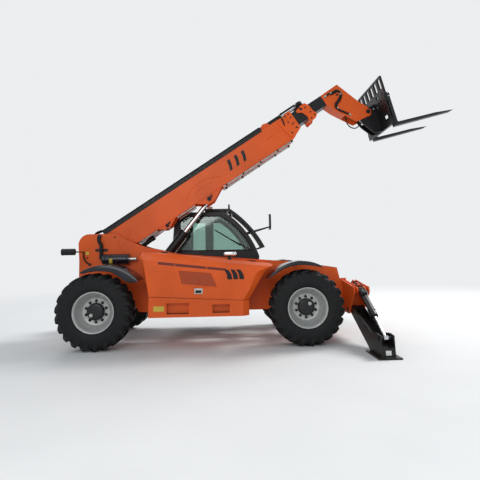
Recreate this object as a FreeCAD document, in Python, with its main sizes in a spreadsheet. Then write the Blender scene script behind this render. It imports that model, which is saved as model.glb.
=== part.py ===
import FreeCAD, Part
import math
import os
import re
import Sketcher
from FreeCAD import Placement, Rotation, Vector

# Telehandler: four steered wheels, a three-section boom with a gooseneck head
# and fork carriage, a cab on the left, the engine pod on the right and two
# stabilisers in front. Millimetres; +X is forward, +Y is left, +Z is up; the
# origin is on the ground in the middle of the machine's length and width.

doc = FreeCAD.newDocument("Telehandler")
sheet = doc.addObject("Spreadsheet::Sheet", "Sizes")

# Driving dimensions: name, value, what it is
SIZES = [
    ("rear_axle_x", -2920, "rear axle centre"),
    ("wheelbase", 3470, "rear axle to front axle"),
    ("tyre_rad", 625, "tyre radius over the lugs"),
    ("tyre_wide", 400, "tyre width"),
    ("tyre_y", 1000, "machine's middle to a wheel's middle plane"),
    ("lug_high", 38, "lug height over the tread"),
    ("lug_wide", 52, "lug width along the tread"),
    ("lug_lean", 62, "half of a lug's travel along the tread"),
    ("rim_rad", 305, "rim barrel radius, a 24 inch rim"),
    ("rim_lip", 333, "rim flange radius"),
    ("disc_depth", 190, "rim face to wheel disc"),
    ("disc_thick", 20, "wheel disc thickness"),
    ("hub_rad", 130, "hub cap radius"),
    ("stud_ring", 162, "radius of the wheel stud circle"),
    ("stud_rad", 13, "wheel stud radius"),
    ("spindle_rad", 60, "spindle radius"),
    ("king_y", 790, "machine's middle to a kingpin"),
    ("king_rad", 30, "kingpin radius"),
    ("yoke_high", 100, "axle middle to the inside of a yoke ear"),
    ("yoke_thick", 32, "yoke ear thickness"),
    ("axle_rad", 85, "axle tube radius"),
    ("fit", 0.08, "radial clearance of a pin in its bore"),
    ("seat", 0.3, "gap where curved pieces meet"),
    ("frame_half", 325, "machine's middle to the frame's outer face"),
    ("frame_wall", 25, "frame side plate thickness"),
    ("frame_low", 505, "frame bottom between the wheels"),
    ("frame_arch", 800, "frame bottom over an axle"),
    ("frame_rear", -3450, "rear end of the frame"),
    ("frame_front", 1600, "front end of the frame"),
    ("hump_top", 1925, "top of the boom tower"),
    ("pivot_x", -3030, "boom pivot, along the machine"),
    ("pivot_z", 1630, "boom pivot, above the ground"),
    ("pivot_pin", 50, "boom pivot pin radius"),
    ("boom_rest", 33.4, "boom angle as it stands"),
    ("boom_half", 200, "boom's middle to its side face"),
    ("boom_plate", 12, "boom plate thickness"),
    ("boom_top", 244, "pivot line to the boom's top face"),
    ("boom_low", -236, "pivot line to the side plates' bottom edge"),
    ("boom_floor", -90, "pivot line to the boom's bottom plate"),
    ("boom_end", 4400, "pivot to the front end of the outer section"),
    ("cover_top", 330, "pivot line to the top of the hose cover"),
    ("cover_half", 125, "half width of the hose cover"),
    ("mid_half", 172, "half width of the middle section"),
    ("mid_end", 4640, "pivot to the front end of the middle section"),
    ("inner_half", 146, "half width of the inner section"),
    ("head_start", 5110, "pivot to the rear end of the head"),
    ("stroke", 3450, "travel of each moving section"),
    ("lift_pin_u", 2150, "lift cylinder's eye along the boom"),
    ("lift_pin_w", -297, "lift cylinder's eye below the pivot line"),
    ("lift_base_x", -2370, "lift cylinder's base, along the machine"),
    ("lift_base_z", 912, "lift cylinder's base, above the ground"),
    ("comp_pin_u", 1220, "levelling cylinder's eye along the boom"),
    ("comp_pin_w", -277, "levelling cylinder's eye below the pivot line"),
    ("comp_base_x", -2740, "levelling cylinder's base, along the machine"),
    ("comp_base_z", 1410, "levelling cylinder's base, above the ground"),
    ("tilt_base_u", 5400, "tilt cylinder's base along the boom"),
    ("tilt_base_w", 20, "tilt cylinder's base above the pivot line"),
    ("nose_u", 5720, "carriage pivot along the boom"),
    ("nose_w", -600, "carriage pivot below the pivot line"),
    ("fork_tilt", 14.7, "forks' angle to the ground as they stand"),
    ("lever_x", -105, "tilt eye behind the carriage pivot"),
    ("lever_z", -173, "tilt eye below the carriage pivot"),
    ("fork_back", 235, "carriage pivot to the forks' back face"),
    ("fork_thick", 60, "fork thickness"),
    ("fork_wide", 130, "fork width"),
    ("fork_y", 520, "machine's middle to a fork's middle"),
    ("fork_long", 1158, "fork blade length over its heel"),
    ("fork_low", -495, "carriage pivot to the forks' bottom face"),
    ("rack_half", 615, "half width of the carriage"),
    ("rack_top", 489, "carriage pivot to the top of the load guard"),
    ("cab_right", 335, "machine's middle to the cab's right wall"),
    ("cab_left", 1190, "machine's middle to the cab's left wall"),
    ("cab_wall", 40, "cab wall thickness"),
    ("door_hinge_x", -1557, "door hinge, along the machine"),
    ("door_hinge_out", 13, "cab's left face to the door hinge's axis"),
    ("cab_floor", 760, "underside of the cab"),
    ("cab_roof", 2370, "cab roof"),
    ("glass", 6, "glass thickness"),
    ("cleaner_x", -2980, "rear end of the air cleaner"),
    ("cleaner_z", 1460, "air cleaner's middle above the ground"),
    ("hose_y", 383, "machine's middle to the intake hose"),
    ("hose_rad", 32, "intake hose radius"),
    ("pod_out", 1200, "machine's middle to the pod's outer face"),
    ("pod_in", 345, "machine's middle to the pod's inner edge"),
    ("pod_low", 520, "bottom of the pod"),
    ("leg_x", 1500, "stabiliser's middle plane"),
    ("leg_y", 670, "machine's middle to a leg's pivot"),
    ("leg_z", 520, "leg's pivot above the ground"),
    ("leg_half", 104, "half width of a leg"),
    ("leg_plate", 18, "leg plate thickness"),
    ("ram_ear", 54, "leg's middle plane to a cylinder ear"),
    ("ram_y", 970, "machine's middle to a stabiliser cylinder's base"),
    ("ram_z", 875, "stabiliser cylinder's base above the ground"),
    ("ram_foot_y", 1980, "machine's middle to its rod's eye"),
    ("ram_foot_z", 270, "its rod's eye above the ground"),
    ("foot_reach", 2150, "machine's middle to a foot's outer edge"),
    ("foot_half", 170, "half length of a foot's sole"),
]
for row, (alias, value, meaning) in enumerate(SIZES, 1):
    sheet.set("A%d" % row, alias)
    sheet.set("B%d" % row, str(value))
    sheet.set("C%d" % row, meaning)
    sheet.setAlias("B%d" % row, alias)
doc.recompute()
NAMES = {alias for alias, value, meaning in SIZES}
PIECES = []


def num(words):
    """The value of an expression in the sheet's names."""
    return float(sheet.evalExpression(str(words)))


def tied(words):
    """The same expression as another object has to write it."""
    return re.sub(r"[A-Za-z_]\w*", lambda m: "Sizes." + m[0] if m[0] in NAMES else m[0], str(words))


class Piece:
    """One sub-part: a body whose sketches lie on its own planes.

    Its own frame is moved to the point at, and turned by turn degrees about
    spin. A corner of an outline is (x, y), or (x, y, r) where an arc of
    radius r leads on to the next corner, anticlockwise if r has no minus.
    """

    def __init__(self, label, at=("0", "0", "0"), spin=None, turn="0"):
        self.body = doc.addObject("PartDesign::Body", label)
        self.body.Label = label
        self.planes = {f.Role: f for f in self.body.Origin.OriginFeatures}
        if spin:
            self.body.Placement = Placement(Vector(), Rotation(spin, num(turn)))
            self.body.setExpression("Placement.Rotation.Angle", tied(turn))
        for axis, words in zip("xyz", at):
            self.body.setExpression("Placement.Base." + axis, tied(words))
        PIECES.append(self.body)

    def sketch(self, plane, rings, off, closed=True):
        """Rings on one plane; a ring is a list of corners or (x, y, r) for a circle."""
        drawing = self.body.newObject("Sketcher::SketchObject", "Outline")
        drawing.AttachmentSupport = [(self.planes[plane + "_Plane"], "")]
        drawing.MapMode = "FlatFace"
        drawing.setExpression("AttachmentOffset.Base.z", tied(off))
        rules = []
        bound = []

        def rule(kind, *parts, words=None):
            rules.append(Sketcher.Constraint(kind, *parts))
            if words is not None:
                bound.append((len(rules) - 1, tied(words)))

        for ring in rings:
            first = drawing.GeometryCount
            if isinstance(ring, tuple):
                x, y, r = ring
                drawing.addGeometry(Part.Circle(Vector(num(x), num(y)), Vector(0, 0, 1), num(r)), False)
                rule("DistanceX", -1, 1, first, 3, num(x), words=x)
                rule("DistanceY", -1, 1, first, 3, num(y), words=y)
                rule("Radius", first, num(r), words=r)
                continue
            spots = [Vector(num(c[0]), num(c[1])) for c in ring]
            ends = []
            lines = len(ring) if closed else len(ring) - 1
            for i, corner in enumerate(ring[:lines]):
                a, b = spots[i], spots[(i + 1) % len(ring)]
                if len(corner) == 3:
                    r = num(corner[2])
                    way = math.copysign(1, r)
                    half = (b - a) / 2
                    side = Vector(-half.y, half.x).normalize() * math.sqrt(r * r - half.Length ** 2)
                    middle = a + half + side * way
                    start = math.atan2(a.y - middle.y, a.x - middle.x)
                    stop = math.atan2(b.y - middle.y, b.x - middle.x)
                    whole = Part.Circle(middle, Vector(0, 0, 1), abs(r))
                    low, high = (start, stop) if way > 0 else (stop, start)
                    drawing.addGeometry(Part.ArcOfCircle(whole, low, high), False)
                    ends.append((1, 2) if way > 0 else (2, 1))
                else:
                    drawing.addGeometry(Part.LineSegment(a, b), False)
                    ends.append((1, 2))
            for i, corner in enumerate(ring[:lines]):
                following = (i + 1) % lines
                if closed or following:
                    rule("Coincident", first + i, ends[i][1], first + following, ends[following][0])
                else:
                    rule("DistanceX", -1, 1, first + i, ends[i][1], spots[-1].x, words=ring[-1][0])
                    rule("DistanceY", -1, 1, first + i, ends[i][1], spots[-1].y, words=ring[-1][1])
                rule("DistanceX", -1, 1, first + i, ends[i][0], spots[i].x, words=corner[0])
                rule("DistanceY", -1, 1, first + i, ends[i][0], spots[i].y, words=corner[1])
                if len(corner) == 3:
                    size = str(corner[2]).lstrip("-")
                    rule("Radius", first + i, num(size), words=size)
        drawing.addConstraint(rules)
        for index, words in bound:
            drawing.setExpression("Constraints[%d]" % index, words)
        return drawing

    def pad(self, plane, rings, low, high):
        """Adds the outline from low to high across the plane."""
        off = "-(%s)" % high if plane == "XZ" else low
        step = self.body.newObject("PartDesign::Pad", "Pad")
        step.Profile = self.sketch(plane, rings, off)
        step.setExpression("Length", tied("(%s) - (%s)" % (high, low)))
        return step

    def cut(self, plane, rings, low, high):
        """Takes the outline away from low to high across the plane."""
        off = "-(%s)" % low if plane == "XZ" else high
        step = self.body.newObject("PartDesign::Pocket", "Pocket")
        step.Profile = self.sketch(plane, rings, off)
        step.setExpression("Length", tied("(%s) - (%s)" % (high, low)))
        return step

    def turned(self, plane, rings, axis):
        """Adds the outline turned about the sketch's H_Axis or V_Axis."""
        step = self.body.newObject("PartDesign::Revolution", "Turned")
        step.Profile = self.sketch(plane, rings, "0")
        step.ReferenceAxis = (step.Profile[0], [axis])
        step.Angle = 360
        return step

    def around(self, steps, count, role):
        """Repeats the steps round one of the body's axes."""
        ring = self.body.newObject("PartDesign::PolarPattern", "Ring")
        ring.Originals = steps
        ring.Axis = (self.planes[role], [""])
        ring.Angle = 360
        ring.Occurrences = count
        self.body.Tip = ring
        return ring

    def lofted(self, plane, sections, kind="Additive"):
        """Straight loft through (offset, outline) sections."""
        step = self.body.newObject("PartDesign::%sLoft" % kind, "Loft")
        drawings = [self.sketch(plane, [ring], off) for off, ring in sections]
        step.Profile = drawings[0]
        step.Sections = drawings[1:]
        step.Ruled = True
        return step


    def tube(self, plane, at, path, across, start, circle):
        """A round hose along an open path, from a circle on the plane across its start."""
        step = self.body.newObject("PartDesign::AdditivePipe", "Hose")
        step.Profile = self.sketch(across, [circle], "-(%s)" % start if across == "XZ" else start)
        spine = self.sketch(plane, [path], "-(%s)" % at if plane == "XZ" else at, closed=False)
        step.Spine = (spine, [])
        return step


def box(x0, y0, x1, y1):
    """Four corners, anticlockwise."""
    return [(x0, y0), (x1, y0), (x1, y1), (x0, y1)]


def plus(*words):
    return " + ".join("(%s)" % w for w in words)


def away(side, words):
    """A Y place on the left (side 1) or the right (side -1)."""
    return words if side > 0 else "-(%s)" % words


def span(side, low, high):
    """Low and high Y of a piece that lies from low to high away from the middle."""
    return (low, high) if side > 0 else ("-(%s)" % high, "-(%s)" % low)


ALONG_Y = Vector(0, -1, 0)
SIDES = (("left", 1), ("right", -1))
AXLES = (("front", "rear_axle_x + wheelbase"), ("rear", "rear_axle_x"))
front_x = "rear_axle_x + wheelbase"

# Wheels: tyre, rim with its hub, and the knuckle that steers each one
LUG_COUNT = 22
LUG_FOOT = 45
STUD_COUNT = 10
tread_rad = "tyre_rad - lug_high - 6"
hub_z = "sqrt(tyre_rad ^ 2 - (lug_lean + lug_wide / 2) ^ 2)"


def tyre(name, side, x):
    piece = Piece("tyre_" + name, (x, away(side, "tyre_y"), hub_z))
    profile = [
        ("rim_rad + seat", "-half_bead"), ("rim_lip + 1", "-half_bead - 12"), ("rim_lip + 70", "-half_tyre + 4"),
        ("rim_lip + 150", "-half_tyre"), ("tyre_rad - 90", "-half_tyre + 14"), ("tread_rad", "-half_tyre + 52"),
        ("tread_rad", "half_tyre - 52"), ("tyre_rad - 90", "half_tyre - 14"), ("rim_lip + 150", "half_tyre"),
        ("rim_lip + 70", "half_tyre - 4"), ("rim_lip + 1", "half_bead + 12"), ("rim_rad + seat", "half_bead"),
    ]
    words = {"half_bead": "(tyre_wide / 2 - 47.5)", "half_tyre": "(tyre_wide / 2)", "tread_rad": "(%s)" % tread_rad}
    ring = [tuple(re.sub("half_bead|half_tyre|tread_rad", lambda m: words[m[0]], w) for w in c) for c in profile]
    piece.turned("XY", [ring], "V_Axis")
    low = "tyre_rad - lug_high - %d" % LUG_FOOT
    lugs = []
    for half in (1, -1):
        near, far = ("4", "tyre_wide / 2 - 3") if half > 0 else ("-4", "3 - tyre_wide / 2")
        corners = [("lug_lean - lug_wide / 2", near), ("lug_lean + lug_wide / 2", near),
                   ("-lug_lean + lug_wide / 2", far), ("-lug_lean - lug_wide / 2", far)]
        if half < 0:
            corners = corners[::-1]
        lugs.append(piece.pad("XY", [corners], low, hub_z))
    piece.around(lugs, LUG_COUNT, "Y_Axis")
    return piece


def rim(name, side, x):
    turn = "0" if side > 0 else "180"
    piece = Piece("rim_" + name, (x, away(side, "tyre_y"), hub_z), Vector(0, 0, 1), turn)
    face = "tyre_wide / 2 - 25"
    disc = "tyre_wide / 2 - 25 - disc_depth"
    spindle_end = "985 - tyre_y"
    piece.turned("XY", [[
        ("spindle_rad + fit", "-125.7"), ("hub_rad - 20", "-125.7"), ("hub_rad - 20", "%s - disc_thick" % disc),
        ("rim_rad - 30", "%s - disc_thick" % disc), ("rim_rad - 12", "%s - 90" % disc),
        ("rim_rad - 12", "-(%s) + 12" % face), ("rim_lip", "-(%s)" % face), ("rim_lip", "-(%s) + 10" % face),
        ("rim_rad", "-(%s) + 22" % face), ("rim_rad", "%s - 22" % face), ("rim_lip", "%s - 10" % face),
        ("rim_lip", face), ("rim_lip - 15", face), ("rim_rad - 8", "%s - 17" % face), ("rim_rad - 14", "%s - 52" % face),
        ("rim_rad - 14", "%s - 120" % face), ("rim_rad - 40", disc), ("hub_rad", disc),
        ("hub_rad", "%s + 58" % disc), ("hub_rad - 22", "%s + 76" % disc), ("0", "%s + 76" % disc),
        ("0", spindle_end), ("spindle_rad + fit", spindle_end)]], "V_Axis")
    stud = piece.pad("XZ", [("0", "stud_ring", "stud_rad")], disc, "%s + 26" % disc)
    piece.around([stud], STUD_COUNT, "Y_Axis")
    return piece


def knuckle(name, side, x):
    turn = "0" if side > 0 else "180"
    piece = Piece("knuckle_" + name, (x, away(side, "king_y"), hub_z), Vector(0, 0, 1), turn)
    body = "yoke_high - 2"
    piece.pad("XY", [box("-48", "-52", "48", "62")], "-(%s)" % body, body)
    piece.pad("XY", [("0", "0", "king_rad")], "-(yoke_high + yoke_thick)", "yoke_high + yoke_thick")
    piece.turned("XY", [[("0", "55"), ("110", "62"), ("110", "78"), ("spindle_rad", "84"),
                         ("spindle_rad", "985 - king_y"), ("0", "985 - king_y")]], "V_Axis")
    arm = -1 if name.startswith("front") else 1
    piece.pad("XY", [box("-25", "-60", "25", "0") if arm == 0 else
                     box("%d" % min(0, arm * 175), "-40", "%d" % max(0, arm * 175), "0")],
              "-22", "22")
    return piece


for end, x in AXLES:
    for name, side in SIDES:
        tyre("%s_%s" % (end, name), side, x)
        rim("%s_%s" % (end, name), side, x)
        knuckle("%s_%s" % (end, name), side, x)


# Axles: differential bulge, tubes, yokes at the kingpins and pads under the frame
def axle(name, x):
    piece = Piece("axle_" + name, (x, "0", hub_z))
    yoke_in = "king_y - 170"
    piece.turned("XY", [[("0", "-(%s)" % yoke_in), ("axle_rad", "-(%s)" % yoke_in), ("axle_rad", "-300"),
                         ("120", "-210"), ("190", "-110"), ("190", "110"), ("120", "210"), ("axle_rad", "300"),
                         ("axle_rad", yoke_in), ("0", yoke_in)]], "V_Axis")
    outer = "yoke_high + yoke_thick"
    for label, side in SIDES:
        y0, y1 = span(side, yoke_in, "king_y - 105")
        piece.pad("XY", [box("-60", y0, "60", y1)], "-(%s)" % outer, outer)
        for low, high in (("yoke_high", outer), ("-(%s)" % outer, "-yoke_high")):
            y0, y1 = span(side, "king_y - 110", "king_y")
            piece.pad("XY", [box("-50", y0, "50", y1)], low, high)
            piece.pad("XY", [("0", away(side, "king_y"), "55")], low, high)
        piece.cut("XY", [("0", away(side, "king_y"), "king_rad + fit")], "-(%s) - 1" % outer, "%s + 1" % outer)
        y0, y1 = span(side, "frame_half - frame_wall - 60", "frame_half")
        piece.pad("XY", [box("-110", y0, "110", y1)], "axle_rad - 40", "frame_arch - " + hub_z)
    return piece


for end, x in AXLES:
    axle(end, x)

# Driveline: transfer box in the middle of the frame and a shaft to each axle
drive = Piece("driveline", (front_x, "0", hub_z))
drive.pad("XZ", [box("-1900", "-85", "-1500", "150")], "-(frame_half - frame_wall)", "frame_half - frame_wall")
drive.turned("XY", [[("-1899", "0"), ("-1899", "36"), ("-wheelbase + 250", "36"), ("-wheelbase + 250", "70"),
                     ("-wheelbase + 190 + seat", "70"), ("-wheelbase + 190 + seat", "0")]], "H_Axis")
drive.turned("XY", [[("-1501", "0"), ("-1501", "36"), ("-250", "36"), ("-250", "70"), ("-190 - seat", "70"),
                     ("-190 - seat", "0")]], "H_Axis")

# Frame: two tall side plates that rise to the boom tower, closed by cross members
frame = Piece("chassis_frame")
plate = [
    ("frame_rear + 40", "1130"), ("frame_rear + 150", "frame_arch"), ("rear_axle_x + 400", "frame_arch"),
    ("rear_axle_x + 570", "frame_low"), ("front_x - 370", "frame_low"), ("front_x - 230", "frame_arch"),
    ("front_x + 230", "frame_arch"), ("front_x + 470", "450"), ("frame_front", "450"),
    ("frame_front", "900"), ("1330", "1020"), ("1280", "1240"), ("front_x + 100", "1345"), ("-1600", "1530"),
    ("-2210", "1665"), ("-2530", "1780"), ("-2790", "hump_top"), ("frame_rear + 190", "hump_top", "195"),
    ("frame_rear", "1740"),
]
plate = [tuple(w.replace("front_x", "(%s)" % front_x) for w in c) for c in plate]
inner = "frame_half - frame_wall"
for label, side in SIDES:
    y0, y1 = span(side, inner, "frame_half")
    frame.pad("XZ", [plate], y0, y1)
    y0, y1 = span(side, "boom_half + 30", inner)
    frame.pad("XZ", [("pivot_x", "pivot_z", "pivot_pin * 2")], y0, y1)
# Cross members: name in words, low x, low z, high x, high z
CROSS = [
    ("rear wall", "frame_rear + 12", "1150", "frame_rear + 32", "1500"),
    ("rear beam", "frame_rear + 150", "frame_arch", "frame_rear + 300", "frame_arch + 120"),
    ("lift cylinder beam", "lift_base_x - 70", "720", "lift_base_x + 130", "810"),
    ("belly beam", "-300", "frame_low", "-100", "frame_low + 60"),
    ("front beam", "front_x + 480", "470", "frame_front", "900"),
]
for words, x0, z0, x1, z1 in CROSS:
    frame.pad("XZ", [[tuple(w.replace("front_x", "(%s)" % front_x) for w in c) for c in box(x0, z0, x1, z1)]],
              "-(%s) - 1" % inner, "%s + 1" % inner)
# Ears: half gap, thickness, x, z, foot
for gap, thick, x, z, foot in (("62", "26", "lift_base_x", "lift_base_z", "800"),):
    for label, side in SIDES:
        y0, y1 = span(side, gap, "%s + %s" % (gap, thick))
        frame.pad("XZ", [box("%s - 62" % x, foot, "%s + 62" % x, z)], y0, y1)
        frame.pad("XZ", [(x, z, "62")], y0, y1)
    frame.pad("XZ", [(x, z, "38")], "-(%s + %s) - 12" % (gap, thick), "%s + %s + 12" % (gap, thick))
frame.pad("XZ", [("comp_base_x", "comp_base_z", "28")], "-(%s) - 1" % inner, "%s + 1" % inner)
frame.cut("XZ", [("pivot_x", "pivot_z", "pivot_pin + fit")], "-frame_half - 1", "frame_half + 1")
# Retainers of the boom pivot's pin, and the cable gland
for label, side in SIDES:
    y0, y1 = span(side, "frame_half - 1", "frame_half + 22")
    for x in ("pivot_x - 90", "pivot_x + 90"):
        frame.pad("XZ", [(x, "pivot_z", "20")], y0, y1)
    y0, y1 = span(side, "frame_half + 14", "frame_half + 21")
    frame.pad("XZ", [box("pivot_x - 90", "pivot_z - 16", "pivot_x + 90", "pivot_z + 16")], y0, y1)
frame.pad("XZ", [("-3237", "1376", "20")], "-frame_half - 28", "-frame_half + 1")
# Cab outriggers and fender arms
for x in ("-1600", "-560"):
    frame.pad("XZ", [box("%s - 50" % x, "cab_floor - 60", "%s + 50" % x, "cab_floor")], "frame_half - 1", "1120")
for x, top in ((front_x + " - 89", "681 + 703 - 14 - 2 * seat"), ("rear_axle_x + 179", "664 + 711 - 14 - 2 * seat")):
    for label, side in SIDES:
        y0, y1 = span(side, "frame_half - 1", "1120")
        frame.pad("XZ", [box("%s - 20" % x, "%s - 50" % top, "%s + 20" % x, top)], y0, y1)
# Stabiliser brackets: a fore and an aft plate each side
bracket = [
    ("frame_half - 1", "450"), ("leg_y", "leg_z - 75"), ("leg_y + 75", "leg_z"), ("ram_y + 62", "ram_z - 30"),
    ("ram_y + 40", "ram_z + 55"), ("ram_y - 60", "ram_z + 62"), ("frame_half - 1", "1010"),
]
# Ears between the leg's plates carry the cylinder's base
RAM_EAR = [("frame_half - 1", "760"), ("ram_y", "ram_z - 50"), ("ram_y", "ram_z + 50"), ("frame_half - 1", "1010")]
for label, side in SIDES:
    ring = [(away(side, y), z) for y, z in bracket]
    if side < 0:
        ring = ring[::-1]
    for x0, x1 in (("leg_x - leg_half - 30", "leg_x - leg_half - 10"), ("leg_x + leg_half + 10", "leg_x + leg_half + 30")):
        frame.pad("YZ", [ring], x0, x1)
        frame.pad("YZ", [(away(side, "leg_y"), "leg_z", "78")], x0, x1)
    frame.pad("YZ", [(away(side, "leg_y"), "leg_z", "30")], "leg_x - leg_half - 42", "leg_x + leg_half + 42")
    ears = [(away(side, y), z) for y, z in RAM_EAR]
    if side < 0:
        ears = ears[::-1]
    for x0, x1 in (("leg_x - ram_ear - 26", "leg_x - ram_ear"), ("leg_x + ram_ear", "leg_x + ram_ear + 26")):
        frame.pad("YZ", [ears], x0, x1)
        frame.pad("YZ", [(away(side, "ram_y"), "ram_z", "50")], x0, x1)
    frame.pad("YZ", [(away(side, "ram_y"), "ram_z", "26")], "leg_x - ram_ear - 26", "leg_x + ram_ear + 26")
    y0, y1 = span(side, "frame_half - 1", "ram_y - 180")
    frame.pad("XY", [box("leg_x - leg_half - 30", y0, "leg_x + leg_half + 30", y1)], "930", "950")

# Fenders: a curved strip over each wheel, with a turned-down outer edge
FENDERS = (("front", front_x + " - 89", "681", "703", "-561", "1104", "358", "1286"),
           ("rear", "rear_axle_x + 179", "664", "711", "-387", "1261", "548", "1117"))
fenders = Piece("fenders")
for end, cx, cz, r, x0, z0, x1, z1 in FENDERS:
    a, b = "(%s) + (%s)" % (cx, x0), "(%s) + (%s)" % (cx, x1)
    thin = 14.0 / float(num(r))
    ring = [(a, z0, "-(%s)" % r), (b, z1),
            ("%s - (%s) * %.4f" % (b, x1, thin), "(%s) - ((%s) - (%s)) * %.4f" % (z1, z1, cz, thin), "%s - 14" % r),
            ("%s - (%s) * %.4f" % (a, x0, thin), "(%s) - ((%s) - (%s)) * %.4f" % (z0, z0, cz, thin))]
    for label, side in SIDES:
        y0, y1 = span(side, "730", "1215")
        fenders.pad("XZ", [ring], y0, y1)

# Pod: the fixed box with two step recesses, low on the right side
pod = Piece("pod_base")
pod.pad("XZ", [[("-2040", "pod_low"), ("-410", "pod_low"), ("-410", "760"), ("-2030", "849")]],
        "-pod_out", "-frame_half")
pod.cut("XZ", [[("-2015", "pod_low + 20"), ("-435", "pod_low + 20"), ("-435", "900"), ("-2015", "900")]],
        "-pod_out + 110", "-(frame_half + 20)")
pod.cut("XY", [[("-512", "-pod_out - 1"), ("-400", "-pod_out - 1"), ("-400", "-pod_out + 95")]], "500", "800")
for x0, z0, x1, z1 in (("-1745", "572", "-1390", "745"), ("-1009", "580", "-730", "712")):
    pod.cut("XZ", [box(x0, z0, x1, z1)], "-pod_out - 1", "-pod_out + 90")

# Engine: one plain block in the pod
engine = Piece("engine_block")
engine.pad("XZ", [box("-1900", "pod_low + 20", "-950", "1150")], "-1020", "-470")

# Engine hood: straight loft through outlines from the outer face to the hinge side
hood = Piece("engine_hood")
HOOD = (
    ("pod_out", (("-2032", "857"), ("-2122", "1425"), ("-2100", "1445"), ("-250", "1238"), ("-303", "1177"),
                 ("-421", "909"), ("-515", "772"))),
    ("1100", (("-2032", "857"), ("-2200", "1484"), ("-2170", "1508"), ("-30", "1304"), ("-170", "1180"),
              ("-330", "909"), ("-415", "768"))),
    ("950", (("-2032", "857"), ("-2215", "1500"), ("-2185", "1577"), ("10", "1334"), ("-130", "1200"),
             ("-330", "909"), ("-415", "768"))),
    ("pod_in", (("-2032", "857"), ("-2215", "1500"), ("-2190", "1590"), ("10", "1345"), ("-130", "1200"),
                ("-330", "909"), ("-415", "768"))),
)
hood.lofted("XZ", [(y, list(ring)) for y, ring in HOOD])
HOOD_INSIDE = (
    ("pod_out - 22", (("-1985", "700"), ("-2090", "1400"), ("-2070", "1412"), ("-330", "1212"), ("-345", "1177"),
                      ("-450", "909"), ("-535", "700"))),
    ("1080", (("-1975", "700"), ("-2172", "1475"), ("-2150", "1482"), ("-200", "1296"), ("-215", "1180"),
              ("-358", "909"), ("-455", "700"))),
    ("940", (("-1975", "700"), ("-2188", "1500"), ("-2163", "1550"), ("-190", "1331"), ("-200", "1200"),
             ("-358", "909"), ("-455", "700"))),
    ("pod_in - 20", (("-1975", "700"), ("-2188", "1500"), ("-2165", "1561"), ("-190", "1341"), ("-200", "1200"),
                     ("-358", "909"), ("-455", "700"))),
)
hood.lofted("XZ", [(y, list(ring)) for y, ring in HOOD_INSIDE], "Subtractive")
hood.cut("XZ", [[("-1553", "1265"), ("-1506", "1050"), ("-933", "991"), ("-1026", "1215")]], "-pod_out - 1", "-pod_out + 9")

# Hinge strips along the hood's inner top edge, 0.3 mm from the frame
for x in ("-1950", "-350"):
    line = "(1590 - (%s + 2190) * 245 / 2200)"
    a, b = x, "%s + 120" % x
    hood.pad("XZ", [[(a, line % a + " - 26"), (b, line % b + " - 26"), (b, line % b), (a, line % a)]],
             "-pod_in - 1", "-frame_half - seat")

# Cab: hollow shell with the windscreen arc, windows, door opening and roof light
CAB = [
    ("-1760", "cab_floor"), ("-420", "cab_floor"), ("-130", "1330"), ("-95", "1463", "1704"),
    ("-790", "cab_roof"), ("-1628", "cab_roof"), ("-1740", "2300"), ("-1790", "2180"), ("-1833", "1622"),
]
cab = Piece("cab_shell")
cab.pad("XZ", [CAB], "cab_right", "cab_left")
INSIDE = [
    ("-1715", "cab_floor + 45"), ("-445", "cab_floor + 45"), ("-175", "1345"), ("-145", "1460", "1650"),
    ("-810", "cab_roof - 50"), ("-1610", "cab_roof - 50"), ("-1698", "2270"), ("-1745", "2170"), ("-1788", "1622"),
]
cab.cut("XZ", [INSIDE], "cab_right + cab_wall", "cab_left - cab_wall")
WINDOW = [("-1690", "1600"), ("-240", "1600", "1560"), ("-850", "2285"), ("-1590", "2285"), ("-1670", "2180")]
cab.cut("XZ", [WINDOW], "cab_right - 1", "cab_right + cab_wall + 1")
DOOR = [("-1560", "cab_floor + 50"), ("-500", "cab_floor + 50"), ("-225", "1345"), ("-225", "1480", "1560"),
        ("-850", "2300"), ("-1560", "2300")]
cab.cut("XZ", [DOOR], "cab_left - cab_wall - 1", "cab_left + 1")
SCREEN = [("-800", "2240"), ("-690", "2430"), ("60", "2430"), ("60", "1500"), ("-200", "1500"), ("-420", "1760")]
cab.cut("XZ", [SCREEN], "cab_right + 65", "cab_left - 65")
cab.cut("XZ", [box("-1950", "1650", "-1700", "2140")], "cab_right + 80", "cab_left - 80")
cab.cut("XY", [box("-1500", "cab_right + 110", "-900", "cab_left - 110")], "cab_roof - 60", "cab_roof + 1")

# Cab glass: right pane, rear pane, roof pane and the curved windscreen
panes = Piece("cab_glass")


def shrunk(ring, centre, share):
    """The ring's corners drawn a little towards a centre, so that a pane fits its opening."""
    cx, cz = centre
    out = []
    for corner in ring:
        x, z = corner[:2]
        spot = ("(%s) + (%s - (%s)) * %s" % (x, cx, x, share), "(%s) + (%s - (%s)) * %s" % (z, cz, z, share))
        out.append(spot + ((corner[2],) if len(corner) == 3 else ()))
    return out


panes.pad("XZ", [shrunk(WINDOW, ("-1100", "1900"), "0.0005")], "cab_right + 12", "cab_right + 12 + glass")
panes.pad("XZ", [[("-165", "1500.5"), ("-158", "1500.5", "1680"), ("-762", "2300"), ("-767", "2293", "-1672")]],
          "cab_right + 65.4", "cab_left - 65.4")
panes.pad("YZ", [box("cab_right + 80.4", "1650.4", "cab_left - 80.4", "2139.6")], "-1800", "-1800 + glass")
panes.pad("XY", [box("-1499.6", "cab_right + 110.4", "-900.4", "cab_left - 110.4")],
          "cab_roof - 30", "cab_roof - 30 + glass")

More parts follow.
